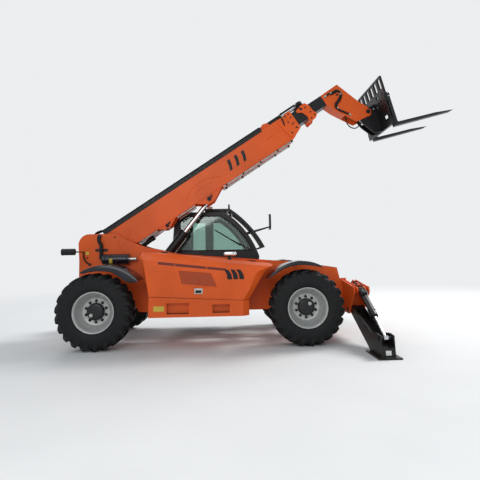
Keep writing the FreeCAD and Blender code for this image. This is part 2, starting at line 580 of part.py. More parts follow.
# Door: hinged at its rear edge, with its own pane
door = Piece("cab_door")
DOOR_GAP = [("-1554", "cab_floor + 56"), ("-503", "cab_floor + 56"), ("-231", "1347"), ("-231", "1480", "1554"),
            ("-853", "2294"), ("-1554", "2294")]
DOOR_LIGHT = [("-1480", "1420"), ("-300", "1420"), ("-300", "1480", "1480"), ("-880", "2220"), ("-1480", "2220")]
door.pad("XZ", [DOOR_GAP], "cab_left - cab_wall", "cab_left")
door.cut("XZ", [DOOR_LIGHT], "cab_left - cab_wall - 1", "cab_left + 1")
door.cut("XZ", [box("-1450", "900", "-600", "1340")], "cab_left - cab_wall - 1", "cab_left - 12")
for z in ("1000", "1750"):
    hinge_y = "cab_left + door_hinge_out"
    cab.pad("XY", [box("door_hinge_x - 50", "cab_left - 1", "door_hinge_x - 4", "cab_left + 6")], "%s - 50" % z, "%s - seat" % z)
    cab.pad("XY", [box("door_hinge_x - 11", "cab_left", "door_hinge_x - 4", hinge_y)], "%s - 50" % z, "%s - seat" % z)
    cab.pad("XY", [("door_hinge_x", hinge_y, "11")], "%s - 50" % z, "%s - seat" % z)
    cab.pad("XY", [("door_hinge_x", hinge_y, "5")], "%s - 50" % z, "%s + 50" % z)
    door.pad("XY", [box("door_hinge_x + 3", "cab_left - 1", "door_hinge_x + 50", "cab_left + 6")], z, "%s + 50" % z)
    door.pad("XY", [box("door_hinge_x + 3", "cab_left + 1", "door_hinge_x + 11", hinge_y)], z, "%s + 50" % z)
    door.pad("XY", [("door_hinge_x", hinge_y, "11")], z, "%s + 50" % z)
    door.cut("XY", [("door_hinge_x", hinge_y, "5 + fit")], "%s - 1" % z, "%s + 51" % z)
pane = Piece("door_glass")
pane.pad("XZ", [shrunk(DOOR_LIGHT, ("-900", "1800"), "0.0006")], "cab_left - 22", "cab_left - 22 + glass")

# Seat, steering column and console inside the cab
seat = Piece("seat")
seat.pad("XY", [box("-1450", "590", "-1080", "930")], "cab_floor + 45", "1040")
seat.pad("XY", [box("-1500", "520", "-980", "1000")], "1040", "1160")
seat.pad("XZ", [[("-1500", "1160"), ("-1390", "1160"), ("-1480", "1800"), ("-1560", "1780")]], "530", "990")
seat.pad("XZ", [[("-1545", "1800"), ("-1470", "1800"), ("-1490", "2020"), ("-1560", "2000")]], "640", "880")
dash = Piece("steering_console")
dash.pad("XZ", [[("-560", "cab_floor + 45"), ("-448", "cab_floor + 45"), ("-190", "1320"), ("-330", "1400"),
                 ("-470", "1290")]], "480", "1040")
wheel = Piece("steering_wheel", ("-520", "760", "1440"), Vector(0, 1, 0), "-38.16")
wheel.turned("XZ", [[("175", "-14"), ("203", "-14"), ("203", "14"), ("175", "14")]], "V_Axis")
wheel.pad("XY", [box("-180", "-18", "180", "18")], "-10", "4")
wheel.pad("XY", [("0", "0", "38")], "-148.5", "10")

# Side tank below the cab, with its step
tank = Piece("side_tank")
tank.pad("XZ", [[("-1980", "490"), ("-450", "490"), ("-400", "560"), ("-400", "cab_floor - 60"),
                 ("-1980", "cab_floor - 60")]], "frame_half + 1", "1150")
tank.cut("XZ", [box("-1250", "520", "-750", "cab_floor - 60 + 1")], "1010", "1151")
tank.pad("XZ", [box("-1230", "540", "-770", "560")], "1009", "1150")

# Guards: bars over the roof, and bars that follow the windscreen down from them
guard = Piece("roof_guard")
screen_guard = Piece("screen_guard")
BARS = 6
for i in range(BARS):
    y = "cab_right + 60 + (cab_left - cab_right - 120) * %d / %d" % (i, BARS - 1)
    guard.pad("XZ", [box("-1175", "2405", "-700", "2440")], "%s - 9" % y, "%s + 9" % y)
    screen_guard.pad("XZ", [[("-700 + seat", "2405"), ("-690", "2400", "-2100"), ("-10", "1640"),
                             ("25", "1650", "2140"), ("-672", "2440"), ("-700 + seat", "2440")]],
                     "%s - 9" % y, "%s + 9" % y)
for x0, z0, x1, z1 in (("-1185", "2405", "-1145", "2440"), ("-740", "2405", "-700", "2440")):
    guard.pad("XZ", [box(x0, z0, x1, z1)], "cab_right + 45", "cab_left - 45")
screen_guard.pad("XZ", [box("-18", "1646", "16", "1676")], "cab_right + 45", "cab_left - 45")
for y in ("cab_right + 60", "cab_left - 60"):
    guard.pad("XZ", [box("-1180", "cab_roof", "-1150", "2410")], "%s - 12" % y, "%s + 12" % y)
    guard.pad("XZ", [box("-850", "cab_roof", "-820", "2410")], "%s - 12" % y, "%s + 12" % y)
    screen_guard.pad("XZ", [[("-131", "1600"), ("-12", "1640"), ("-12", "1668"), ("-131", "1628")]],
                     "%s - 9" % y, "%s + 9" % y)

guard.pad("XY", [("-685", "cab_right + 425", "18")], "2430", "2567")
guard.pad("XY", [box("-1165", "cab_right + 415", "-1120", "cab_right + 435")], "2430", "2460")
guard.pad("XZ", [box("-1140", "2445", "-1040", "2525")], "cab_right + 380", "cab_right + 470")

# Lamps, mirrors, air cleaner
lamps = Piece("lamps")
lamps.pad("YZ", [("-850", "1600", "55")], "-3545", "-3330")
lamps.pad("YZ", [box("-850 - 20", "1590", "-frame_half", "1610")], "-3360", "-3340")
mirror = Piece("mirrors")
mirror.pad("XZ", [box("215", "2060", "255", "2400")], "1230", "1420")
mirror.pad("XZ", [[("-440", "1915"), ("-372", "1915"), ("235", "2100"), ("235", "2130"), ("-440", "1965")]],
           "cab_left", "cab_left + 25")
mirror.pad("XZ", [box("205", "2095", "235", "2130")], "cab_left + 24", "1240")
hood_mirror = Piece("hood_mirror")
hood_mirror.pad("XZ", [[("-740", "1424.8"), ("-680", "1418.1"), ("-690", "1500"), ("-730", "1500")]], "-630", "-570")
hood_mirror.pad("XZ", [box("-815", "1485", "-590", "1560")], "-640", "-560")
cleaner = Piece("air_cleaner", ("cleaner_x", "-(frame_half + 92 + seat)", "cleaner_z"))
cleaner.turned("XY", [[("0", "0"), ("0", "92"), ("470", "92"), ("470", "30"), ("600", "30"), ("600", "0")]], "H_Axis")

# Hoses on the tower: the air intake, and the rear lamp's cable down to its gland
hoses = Piece("hoses")
hoses.tube("YZ", "cleaner_x - 90", [("-frame_half - seat", "1885"), ("40 - hose_y", "1885", "40"), ("-hose_y", "1845"),
                                    ("-hose_y", "1840")],
           "XZ", "-frame_half - seat", ("cleaner_x - 90", "1885", "hose_rad"))
hoses.tube("XZ", "-hose_y", [("cleaner_x - 90", "1840"), ("cleaner_x - 90", "1830", "124"),
                             ("cleaner_x - 67.5", "1758.8", "-124"), ("cleaner_x - 45", "1687.5"),
                             ("cleaner_x - 45", "cleaner_z + 45 - seat", "45 - seat"), ("cleaner_x - seat", "cleaner_z")],
           "XY", "1840", ("cleaner_x - 90", "-hose_y", "hose_rad"))
hoses.tube("XZ", "-frame_half - 12 - seat", [("-3350", "1590 - seat"), ("-3350", "1540", "174"), ("-3255", "1385")],
           "XY", "1590 - seat", ("-3350", "-frame_half - 12 - seat", "12"))


# Boom: pieces drawn along the boom, with the pivot as their own origin
def boom_piece(label):
    return Piece(label, ("pivot_x", "0", "pivot_z"), ALONG_Y, "boom_rest")


outer = boom_piece("boom_outer")
SIDE = [
    ("-130", "60"), ("-130", "-60", "145"), ("60", "-132"), ("360", "-150"), ("640", "boom_low"),
    ("comp_pin_u - 190", "boom_low"), ("comp_pin_u - 60", "comp_pin_w - 45"), ("comp_pin_u + 50", "comp_pin_w - 45"),
    ("comp_pin_u + 210", "boom_low"), ("lift_pin_u - 260", "boom_low"), ("lift_pin_u - 70", "lift_pin_w - 78"),
    ("lift_pin_u + 70", "lift_pin_w - 78"), ("lift_pin_u + 330", "boom_low"),
    ("boom_end - 230", "boom_low"), ("boom_end", "boom_floor - 25"), ("boom_end", "30"), ("boom_end - 170", "boom_top"),
    ("140", "boom_top"), ("-60", "150"),
]
outer.pad("XZ", [SIDE], "-boom_half", "boom_half")
outer.cut("XZ", [box("-300", "-500", "boom_end + 10", "boom_floor")], "-boom_half + boom_plate",
          "boom_half - boom_plate")
outer.cut("XZ", [box("200", "boom_floor + boom_plate", "boom_end + 10", "boom_top - boom_plate")],
          "-boom_half + boom_plate", "boom_half - boom_plate")
outer.pad("XZ", [("0", "0", "90")], "-boom_half - 27", "boom_half + 27")
outer.pad("XZ", [("0", "0", "pivot_pin")], "-frame_half - 12", "frame_half + 12")
# Stub pins that face each other: u, w, radius, gap to the eye between them
for u, w, r, gap in (("lift_pin_u", "lift_pin_w", "34", "62"), ("comp_pin_u", "comp_pin_w", "26", "46")):
    for label, side in SIDES:
        y0, y1 = span(side, gap, "boom_half + 10")
        outer.pad("XZ", [(u, w, r)], y0, y1)
# Front collar with the wear pads that guide the middle section
mid_top = "boom_top - boom_plate - 18"
mid_low = "boom_floor + boom_plate + 18"
outer.pad("YZ", [box("-boom_half - 14", "boom_floor - 40", "boom_half + 14", "boom_top + 16"),
                 box("-mid_half - 0.5", "%s - 0.5" % mid_low, "mid_half + 0.5", "%s + 0.5" % mid_top)],
          "boom_end - 120", "boom_end")

cover = boom_piece("boom_cover")
cover.pad("YZ", [[("-cover_half", "boom_top"), ("cover_half", "boom_top"), ("cover_half", "cover_top - 22"),
                  ("cover_half - 22", "cover_top"), ("-cover_half + 22", "cover_top"),
                  ("-cover_half", "cover_top - 22")]], "160", "boom_end - 170")
cover.cut("YZ", [box("-cover_half + 8", "boom_top + 3", "cover_half - 8", "cover_top - 10")], "180", "boom_end - 169")

mid = boom_piece("boom_middle")
mid.pad("YZ", [box("-mid_half", mid_low, "mid_half", mid_top)], "330", "mid_end")
inner_top = "boom_top - boom_plate - 48"
inner_low = "boom_floor + boom_plate + 48"
mid.cut("YZ", [box("-mid_half + 10", "%s + 10" % mid_low, "mid_half - 10", "%s - 10" % mid_top)], "320", "mid_end + 1")
collar = boom_piece("middle_collar")
collar.pad("YZ", [box("-mid_half - 16", "%s - 40" % mid_low, "mid_half + 16", "%s + 22" % mid_top),
                  box("-inner_half - 0.5", "%s - 0.5" % inner_low, "inner_half + 0.5", "%s + 0.5" % inner_top)],
           "mid_end", "mid_end + 110")
collar.pad("YZ", [box("-60", "%s + 20" % mid_top, "60", "cover_top")], "mid_end", "mid_end + 60")
rod = boom_piece("extension_rod")
rod.pad("YZ", [("0", "cover_top - 42", "26")], "620", "mid_end")
barrel = boom_piece("extension_cylinder")
barrel.pad("YZ", [("0", "cover_top - 42", "30"), ("0", "cover_top - 42", "26.1")], "600", "boom_end - 200")

inner_boom = boom_piece("boom_inner")
inner_boom.pad("YZ", [box("-inner_half", inner_low, "inner_half", inner_top)], "430", "head_start")
inner_boom.cut("YZ", [box("-inner_half + 9", "%s + 9" % inner_low, "inner_half - 9", "%s - 9" % inner_top)],
               "420", "head_start + 1")

# Head: gooseneck of two side plates, a bent front plate and a rear plate
head = boom_piece("boom_head")
HEAD = [
    ("head_start", inner_top), ("5519", "194"), ("5687", "-347"), ("nose_u + 45", "-507"),
    ("nose_u + 45", "nose_w - 40", "-75"), ("nose_u - 60", "nose_w - 76"), ("5420", "-640"), ("5172", "-192"),
    ("head_start", inner_low),
]
head.pad("XZ", [HEAD], "-inner_half", "inner_half")
head.cut("XZ", [[("head_start + 12", "%s - 12" % inner_top), ("5508", "182"), ("5680", "-330"), ("5900", "-420"),
                 ("5900", "-900"), ("5300", "-900"), ("5290", "-390"), ("5184", "-192"), ("head_start + 12", "%s + 12" % inner_low)]],
         "-inner_half + 22", "inner_half - 22")
head.pad("XZ", [("tilt_base_u", "tilt_base_w", "28")], "-inner_half", "inner_half")
for label, side in SIDES:
    y0, y1 = span(side, "inner_half - 26", "inner_half + 10")
    head.pad("XZ", [("nose_u", "nose_w", "60")], y0, y1)
head.cut("XZ", [("nose_u", "nose_w", "32 + fit")], "-inner_half - 11", "inner_half + 11")

# Carriage, in its own frame at the nose pivot
nose_x = "pivot_x + nose_u * cos(boom_rest) - nose_w * sin(boom_rest)"
nose_z = "pivot_z + nose_u * sin(boom_rest) + nose_w * cos(boom_rest)"


def carriage_piece(label):
    return Piece(label, (nose_x, "0", nose_z), ALONG_Y, "fork_tilt")


rack = carriage_piece("fork_carriage")
EAR = [("-178", "-100"), ("-178", "-150"), ("-125", "-250"), ("30", "-450"), ("fork_back - 59", "-450"),
       ("fork_back - 59", "120"), ("-40", "58")]
for label, side in SIDES:
    y0, y1 = span(side, "85", "113")
    rack.pad("XZ", [EAR], y0, y1)
    y0, y1 = span(side, "46", "86")
    rack.pad("XZ", [("lever_x", "lever_z", "24")], y0, y1)
rack.pad("XZ", [("0", "0", "32")], "-inner_half - 10", "inner_half + 10")
for z0, z1 in (("-450", "-330"), ("0", "120")):
    rack.pad("XZ", [box("fork_back - 60", z0, "fork_back", z1)], "-rack_half", "rack_half")
rack.pad("XZ", [box("fork_back - 60", "-331", "fork_back - 30", "1")], "-300", "300")
# Load guard: a frame with upright bars
guard_low = "120"
rack.pad("YZ", [box("-rack_half", "119", "rack_half", "rack_top")], "fork_back - 40", "fork_back")
SLOTS = 6
for i in range(SLOTS):
    middle = "rack_half * (%d - %d) / %d" % (2 * i, SLOTS - 1, SLOTS)
    rack.cut("YZ", [box("%s - 62" % middle, "rack_top - 230", "%s + 62" % middle, "rack_top - 35")],
             "fork_back - 41", "fork_back + 1")
for y in ("-250", "250"):
    rack.cut("YZ", [box("%s - 45" % y, "150", "%s + 45" % y, "210")], "fork_back - 41", "fork_back + 1")

forks = carriage_piece("forks")
FORK = [
    ("fork_back", "fork_low"), ("fork_back + fork_long - 40", "fork_low"),
    ("fork_back + fork_long", "fork_low + 12"), ("fork_back + fork_long - 350", "fork_low + 46"),
    ("fork_back + fork_thick + 25", "fork_low + fork_thick", "-25"), ("fork_back + fork_thick", "fork_low + fork_thick + 25"),
    ("fork_back + fork_thick", "140"), ("fork_back", "140"),
]
for label, side in SIDES:
    y0, y1 = span(side, "fork_y - fork_wide / 2", "fork_y + fork_wide / 2")
    forks.pad("XZ", [FORK], y0, y1)


# Cylinders: barrel and rod, each drawn along its own line with its base as origin
def cylinder(name, base, angle, plane_spin, sizes, total):
    """sizes: eye radius, eye half width, barrel radius, barrel end, rod radius, eye bore, rod eye radius, bore length."""
    eye, wide, tube, reach, thin, bore, tip, deep = sizes
    turn = Vector(*plane_spin)
    side = "XZ" if turn.y else "XY"
    barrel = Piece(name + "_cylinder", base, turn, angle)
    barrel.turned("XY", [[("%d" % (eye - 20), "0"), ("%d" % (eye - 20), "%d" % (wide - 5)),
                          ("%d" % (eye + 12), "%d" % (wide - 5)), ("%d" % (eye + 12), "%d" % tube),
                          ("%d" % reach, "%d" % tube), ("%d" % reach, "0")]], "H_Axis")
    barrel.pad(side, [("0", "0", "%d" % eye)], "-%d" % wide, "%d" % wide)
    barrel.cut(side, [("0", "0", "%s + fit" % bore)], "-%d" % (wide + 1), "%d" % (wide + 1))
    barrel.cut("YZ", [("0", "0", "%d + fit" % thin)], "%d" % (reach - deep), "%d" % (reach + 1))
    stem = Piece(name + "_rod", base, turn, angle)
    stem.pad("YZ", [("0", "0", "%d" % thin)], "%d" % (reach - 60), "%s - %d" % (total, tip - 4))
    stem.pad(side, [(total, "0", "%d" % tip)], "-%d" % wide, "%d" % wide)
    return barrel, stem


def boom_point(u, w):
    return ("(pivot_x + (%s) * cos(boom_rest) - (%s) * sin(boom_rest))" % (u, w),
            "(pivot_z + (%s) * sin(boom_rest) + (%s) * cos(boom_rest))" % (u, w))


def reach_of(start, stop):
    """Length and angle, in words, from one point to another."""
    (x0, z0), (x1, z1) = start, stop
    dx, dz = "(%s - (%s))" % (x1, x0), "(%s - (%s))" % (z1, z0)
    return "sqrt(%s ^ 2 + %s ^ 2)" % (dx, dz), "atan2(%s; %s) / 1 deg" % (dz, dx)


lift_eye = boom_point("lift_pin_u", "lift_pin_w")
total, angle = reach_of(("lift_base_x", "lift_base_z"), lift_eye)
cylinder("lift", ("lift_base_x", "0", "lift_base_z"), angle, (0, -1, 0), (60, 55, 82, 1330, 45, "38", 48, 665), total)
comp_eye = boom_point("comp_pin_u", "comp_pin_w")
total, angle = reach_of(("comp_base_x", "comp_base_z"), comp_eye)
cylinder("levelling", ("comp_base_x", "0", "comp_base_z"), angle, (0, -1, 0), (44, 38, 42, 760, 22, "28", 38, 285), total)
tilt_base = boom_point("tilt_base_u", "tilt_base_w")
lever = ("(%s + lever_x * cos(fork_tilt) - lever_z * sin(fork_tilt))" % nose_x,
         "(%s + lever_x * sin(fork_tilt) + lever_z * cos(fork_tilt))" % nose_z)
total, angle = reach_of(tilt_base, lever)
cylinder("tilt", (tilt_base[0], "0", tilt_base[1]), angle, (0, -1, 0), (42, 38, 40, 420, 20, "28", 36, 340), total)

# Stabilisers: a channel leg with its foot, and a cylinder in the channel
for label, side in SIDES:
    leg = Piece("stabiliser_leg_" + label)
    LEG = [("leg_y - 62", "leg_z - 10"), ("leg_y + 40", "leg_z - 62"), ("1600", "30"), ("1600", "0"),
           ("foot_reach", "0"), ("foot_reach", "28"), ("2075", "30"), ("ram_foot_y + 70", "ram_foot_z + 45"),
           ("ram_foot_y - 60", "ram_foot_z + 60"), ("1700", "300"), ("leg_y + 70", "leg_z + 75"),
           ("leg_y - 40", "leg_z + 55")]
    ring = [(away(side, y), z) for y, z in LEG]
    HOLLOW = [("leg_y + 130", "leg_z - 40"), ("1640", "150"), ("foot_reach + 10", "150"), ("foot_reach + 10", "700"),
              ("leg_y + 300", "900")]
    deep = [(away(side, y), z) for y, z in HOLLOW]
    if side < 0:
        ring, deep = ring[::-1], deep[::-1]
    leg.pad("YZ", [ring], "leg_x - leg_half", "leg_x + leg_half")
    leg.cut("YZ", [deep], "leg_x - leg_half + leg_plate", "leg_x + leg_half - leg_plate")
    leg.cut("YZ", [(away(side, "leg_y"), "leg_z", "30 + fit")], "leg_x - leg_half - 1", "leg_x + leg_half + 1")
    y0, y1 = span(side, "1600", "foot_reach")
    leg.pad("XY", [box("leg_x - foot_half", y0, "leg_x + foot_half", y1)], "0", "22")
    for x0, x1 in (("leg_x - leg_half + 1", "leg_x - 36"), ("leg_x + 36", "leg_x + leg_half - 1")):
        leg.pad("YZ", [(away(side, "ram_foot_y"), "ram_foot_z", "24")], x0, x1)

    total, angle = reach_of(("ram_y", "ram_z"), ("ram_foot_y", "ram_foot_z"))
    spin = Vector(1, 0, 0)
    for kind in ("cylinder", "rod"):
        piece = Piece("stabiliser_%s_%s" % (kind, label), ("leg_x", away(side, "ram_y"), "ram_z"), spin,
                      angle if side > 0 else "-(%s)" % angle)
        far = (lambda words: words) if side > 0 else (lambda words: "-(%s)" % words)
        if kind == "cylinder":
            low, high = span(side, "40", "690")
            piece.pad("XZ", [("0", "0", "50")], low, high)
            piece.pad("YZ", [("0", "0", "46")], "-ram_ear + 6", "ram_ear - 6")
            piece.cut("YZ", [("0", "0", "26 + fit")], "-ram_ear", "ram_ear")
            low, high = span(side, "262", "691")
            piece.cut("XZ", [("0", "0", "26 + fit")], low, high)
        else:
            low, high = span(side, "640", "%s - 30" % total)
            piece.pad("XZ", [("0", "0", "26")], low, high)
            piece.pad("YZ", [(far(total), "0", "36")], "-30", "30")

doc.recompute()

# Every object has to be sound before anything is written
faults = []
for item in doc.Objects:
    if "Invalid" in item.State or "Error" in item.State:
        faults.append("%s (%s)" % (item.Label, item.Name))
for body in PIECES:
    if body.Shape.isNull() or not body.Shape.isValid() or not body.Shape.Solids:
        faults.append("%s has no sound shape" % body.Label)
if faults:
    raise RuntimeError("; ".join(faults))

os.makedirs("parts", exist_ok=True)
for body in PIECES:
    body.Shape.exportStep("parts/%s.step" % body.Label)
print(len(PIECES), "pieces written")
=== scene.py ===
import math
import bmesh
import bpy
import numpy as np
from mathutils import Matrix, Vector, bvhtree


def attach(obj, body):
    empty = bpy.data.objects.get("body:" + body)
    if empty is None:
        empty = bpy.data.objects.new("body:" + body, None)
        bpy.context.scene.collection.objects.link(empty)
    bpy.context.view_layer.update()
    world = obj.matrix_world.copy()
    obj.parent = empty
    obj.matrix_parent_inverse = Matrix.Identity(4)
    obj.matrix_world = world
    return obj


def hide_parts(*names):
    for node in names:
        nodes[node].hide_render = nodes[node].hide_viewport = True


# A telehandler: the CAD parts carry the shape; this script gives them their
# materials and adds tread, trim, hoses, blank labels and fastenings. Metres.

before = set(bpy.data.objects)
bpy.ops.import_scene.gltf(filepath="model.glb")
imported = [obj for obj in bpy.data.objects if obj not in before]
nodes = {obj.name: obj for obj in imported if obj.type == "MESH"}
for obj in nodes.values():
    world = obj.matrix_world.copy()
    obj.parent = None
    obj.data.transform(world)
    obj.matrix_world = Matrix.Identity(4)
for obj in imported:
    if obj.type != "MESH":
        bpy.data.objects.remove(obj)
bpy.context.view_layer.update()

MM = 0.001
PIVOT = (-3.03, 1.63)
BOOM_ANGLE = math.radians(33.4)
NOSE = (5.72, -0.6)
FORK_ANGLE = math.radians(14.7)
AXLES = {"front": 0.55, "rear": -2.92}
WHEEL_Y = 1.0
TYRE_R = 0.625
CONTACT_HALF = 0.088
HUB_Z = math.sqrt(TYRE_R ** 2 - CONTACT_HALF ** 2)
KING_Y = 0.79
SIDES = {"left": 1, "right": -1}


def linear(hexa):
    """An sRGB hex colour as linear red, green, blue and alpha 1."""
    out = []
    for i in (0, 2, 4):
        c = int(hexa[i:i + 2], 16) / 255
        out.append(c / 12.92 if c <= 0.04045 else ((c + 0.055) / 1.055) ** 2.4)
    return (*out, 1.0)


def add(tree, kind, sockets=(), out=0, **settings):
    """A new shader node with its settings, of which the output out is handed back.

    sockets lists what the first inputs get, or maps an input's name or number to it: a value, or another output.
    """
    node = tree.nodes.new("ShaderNode" + kind)
    for key, value in settings.items():
        setattr(node, key, value)
    for key, value in sockets.items() if isinstance(sockets, dict) else enumerate(sockets):
        if isinstance(value, bpy.types.NodeSocket):
            tree.links.new(value, node.inputs[key])
        else:
            node.inputs[key].default_value = value
    return node.outputs[out] if len(node.outputs) else None


def blank(name):
    """A material with an empty tree, and its object coordinates."""
    mat = bpy.data.materials.new(name)
    mat.use_nodes = True
    mat.node_tree.nodes.clear()
    return mat, mat.node_tree, add(mat.node_tree, "TexCoord", out="Object")


DUST = linear("9A8B78")
RGBA = {"out": 2, "data_type": "RGBA"}


def enamel(name, colour, rough, coat, dust, haze=0.3):
    """Enamel sprayed on steel, under a thin clear coat, with road dust that thickens towards the ground.

    The colour drifts to a shade 18% darker over 550 mm. Dust comes in clouds of 90 mm; formula: cloud times dust
    times a fall from 1 at 0.1 m above the ground to 0.12 at 1.3 m. Orange peel is really 1 mm wide and is drawn
    4 mm wide, so that it shows.
    """
    mat, tree, where = blank(name)
    drift = add(tree, "TexNoise", {"Vector": where, "Scale": 1 / (550 * MM), "Detail": 4.0, "Roughness": 0.5})
    dark = (*(c * 0.82 for c in colour[:3]), 1.0)
    base = add(tree, "Mix", {0: add(tree, "MapRange", [drift, 0.35, 0.7, 0.0, 1.0]), 6: colour, 7: dark}, **RGBA)
    cloud = add(tree, "TexNoise", {"Vector": where, "Scale": 1 / (90 * MM), "Detail": 6.0, "Roughness": 0.65})
    high = add(tree, "SeparateXYZ", [where], out=2)
    film = add(tree, "Math", [add(tree, "MapRange", [cloud, 0.42, 0.75, 0.0, 1.0]),
                              add(tree, "MapRange", [high, 0.1, 1.3, 1.0, 0.12])], operation="MULTIPLY")
    film = add(tree, "Math", [film, dust], operation="MULTIPLY")
    base = add(tree, "Mix", {0: film, 6: base, 7: DUST}, **RGBA)
    sheen = add(tree, "MapRange", [film, 0.0, 0.5, rough, min(1.0, rough + 0.35)])
    peel = add(tree, "TexNoise", {"Vector": where, "Scale": 1 / (4 * MM), "Detail": 1.0, "Roughness": 0.5})
    relief = add(tree, "Bump", {"Height": peel, "Distance": 0.05 * MM, "Strength": 1.0})
    shader = add(tree, "BsdfPrincipled", {"Base Color": base, "Roughness": sheen, "Specular IOR Level": 0.24,
                                          "Coat Weight": coat, "Coat Roughness": haze, "Normal": relief})
    add(tree, "OutputMaterial", [shader])
    return mat


def plain(name, colour, rough, metal=0.0, grain=0.6, deep=0.08, wear=0.12, clear=0.0):
    """A moulded, forged or plated surface, with grain of grain by deep millimetres and patches of 50 mm.

    In a patch the colour is up to 35% of the way to one half again as light, and the roughness moves by wear.
    """
    mat, tree, where = blank(name)
    patch = add(tree, "TexNoise", {"Vector": where, "Scale": 1 / (50 * MM), "Detail": 4.0, "Roughness": 0.5})
    light = (*(min(1.0, c * 1.5 + 0.003) for c in colour[:3]), 1.0)
    base = add(tree, "Mix", {0: add(tree, "MapRange", [patch, 0.45, 0.8, 0.0, 0.35]), 6: colour, 7: light}, **RGBA)
    sheen = add(tree, "MapRange", [patch, 0.3, 0.7, max(0.02, rough - wear), min(1.0, rough + wear)])
    grit = add(tree, "TexNoise", {"Vector": where, "Scale": 1 / (grain * MM), "Detail": 2.0, "Roughness": 0.5})
    relief = add(tree, "Bump", {"Height": grit, "Distance": deep * MM, "Strength": 1.0})
    shader = add(tree, "BsdfPrincipled", {
        "Base Color": base, "Roughness": sheen, "Metallic": metal, "Specular IOR Level": 0.5 if metal else 0.28,
        "Coat Weight": clear, "Normal": relief})
    add(tree, "OutputMaterial", [shader])
    return mat


def tyre_rubber():
    """Moulded carbon black rubber: matt, with brown dust in clouds of 60 mm and a 4 mm grain from the mould."""
    mat, tree, where = blank("tyre_rubber")
    cloud = add(tree, "TexNoise", {"Vector": where, "Scale": 1 / (60 * MM), "Detail": 6.0, "Roughness": 0.6})
    dusty = add(tree, "MapRange", [cloud, 0.4, 0.75, 0.0, 0.35])
    base = add(tree, "Mix", {0: dusty, 6: linear("0E0F11"), 7: linear("2B2927")}, **RGBA)
    sheen = add(tree, "MapRange", [cloud, 0.3, 0.7, 0.62, 0.86])
    grit = add(tree, "TexNoise", {"Vector": where, "Scale": 1 / (4 * MM), "Detail": 3.0, "Roughness": 0.5})
    relief = add(tree, "Bump", {"Height": grit, "Distance": 0.4 * MM, "Strength": 1.0})
    shader = add(tree, "BsdfPrincipled", {"Base Color": base, "Roughness": sheen, "Specular IOR Level": 0.3,
                                          "Normal": relief})
    add(tree, "OutputMaterial", [shader])
    return mat


HUB_PAINT_R = 0.1415
NUT_PAINT_R = 0.19
NUT_PAINT_Y = WHEEL_Y - 0.0125


def rim_enamel(name, x, sign):
    """Silver enamel on a steel rim, stained in clouds of 50 mm; its hub and its nuts are black.

    Formula: black where the distance from the wheel's axis is under HUB_PAINT_R, or where it is under NUT_PAINT_R
    and the depth is over NUT_PAINT_Y.
    """
    mat, tree, where = blank(name)
    axes = add(tree, "SeparateXYZ", [where]).node.outputs
    across = add(tree, "Math", [add(tree, "Math", [axes[0], x], operation="SUBTRACT"), 2.0], operation="POWER")
    up = add(tree, "Math", [add(tree, "Math", [axes[2], HUB_Z], operation="SUBTRACT"), 2.0], operation="POWER")
    radius = add(tree, "Math", [add(tree, "Math", [across, up], operation="ADD")], operation="SQRT")
    depth = add(tree, "Math", [axes[1], sign], operation="MULTIPLY")
    hub = add(tree, "Math", [radius, HUB_PAINT_R], operation="LESS_THAN")
    raised = add(tree, "Math", [add(tree, "Math", [depth, NUT_PAINT_Y], operation="GREATER_THAN"),
                                add(tree, "Math", [radius, NUT_PAINT_R], operation="LESS_THAN")],
                 operation="MULTIPLY")
    black = add(tree, "Math", [hub, raised], operation="MAXIMUM")
    cloud = add(tree, "TexNoise", {"Vector": where, "Scale": 1 / (50 * MM), "Detail": 6.0, "Roughness": 0.62})
    stain = add(tree, "MapRange", [cloud, 0.45, 0.8, 0.0, 0.45])
    silver = add(tree, "Mix", {0: stain, 6: linear("B4B5B2"), 7: linear("6E6860")}, **RGBA)
    base = add(tree, "Mix", {0: black, 6: silver, 7: linear("101113")}, **RGBA)
    sheen = add(tree, "MapRange", [stain, 0.0, 0.45, 0.3, 0.6])
    peel = add(tree, "TexNoise", {"Vector": where, "Scale": 1 / (3 * MM), "Detail": 2.0, "Roughness": 0.5})
    relief = add(tree, "Bump", {"Height": peel, "Distance": 0.15 * MM, "Strength": 1.0})
    shader = add(tree, "BsdfPrincipled", {"Base Color": base, "Roughness": sheen, "Metallic": 0.25, "Normal": relief})
    add(tree, "OutputMaterial", [shader])
    return mat


def window_glass():
    """Tinted safety glass: seen through, with a smeared mirror film that grows at grazing angles."""
    mat, tree, where = blank("tinted_safety_glass")
    through = add(tree, "BsdfTransparent", [linear("D3E2DD")])
    smear = add(tree, "TexNoise", {"Vector": where, "Scale": 1 / (80 * MM), "Detail": 5.0, "Roughness": 0.5})
    film = add(tree, "MapRange", [smear, 0.4, 0.8, 0.02, 0.09])
    shine = add(tree, "BsdfGlossy", {"Color": (0.9, 0.95, 0.93, 1.0), "Roughness": film})
    edge = add(tree, "Math", [add(tree, "Fresnel", {"IOR": 1.5}), 0.9], operation="MULTIPLY")
    share = add(tree, "Math", [edge, 0.03], operation="ADD")
    add(tree, "OutputMaterial", [add(tree, "MixShader", [share, through, shine])])
    return mat


def mirror_glass():
    """Silvered glass: a clear reflection, dulled by haze in clouds of 30 mm."""
    mat, tree, where = blank("silvered_mirror")
    cloud = add(tree, "TexNoise", {"Vector": where, "Scale": 1 / (30 * MM), "Detail": 4.0, "Roughness": 0.5})
    haze = add(tree, "MapRange", [cloud, 0.4, 0.8, 0.02, 0.08])
    shader = add(tree, "BsdfPrincipled", {"Base Color": linear("DADDE0"), "Metallic": 1.0, "Roughness": haze})
    add(tree, "OutputMaterial", [shader])
    return mat


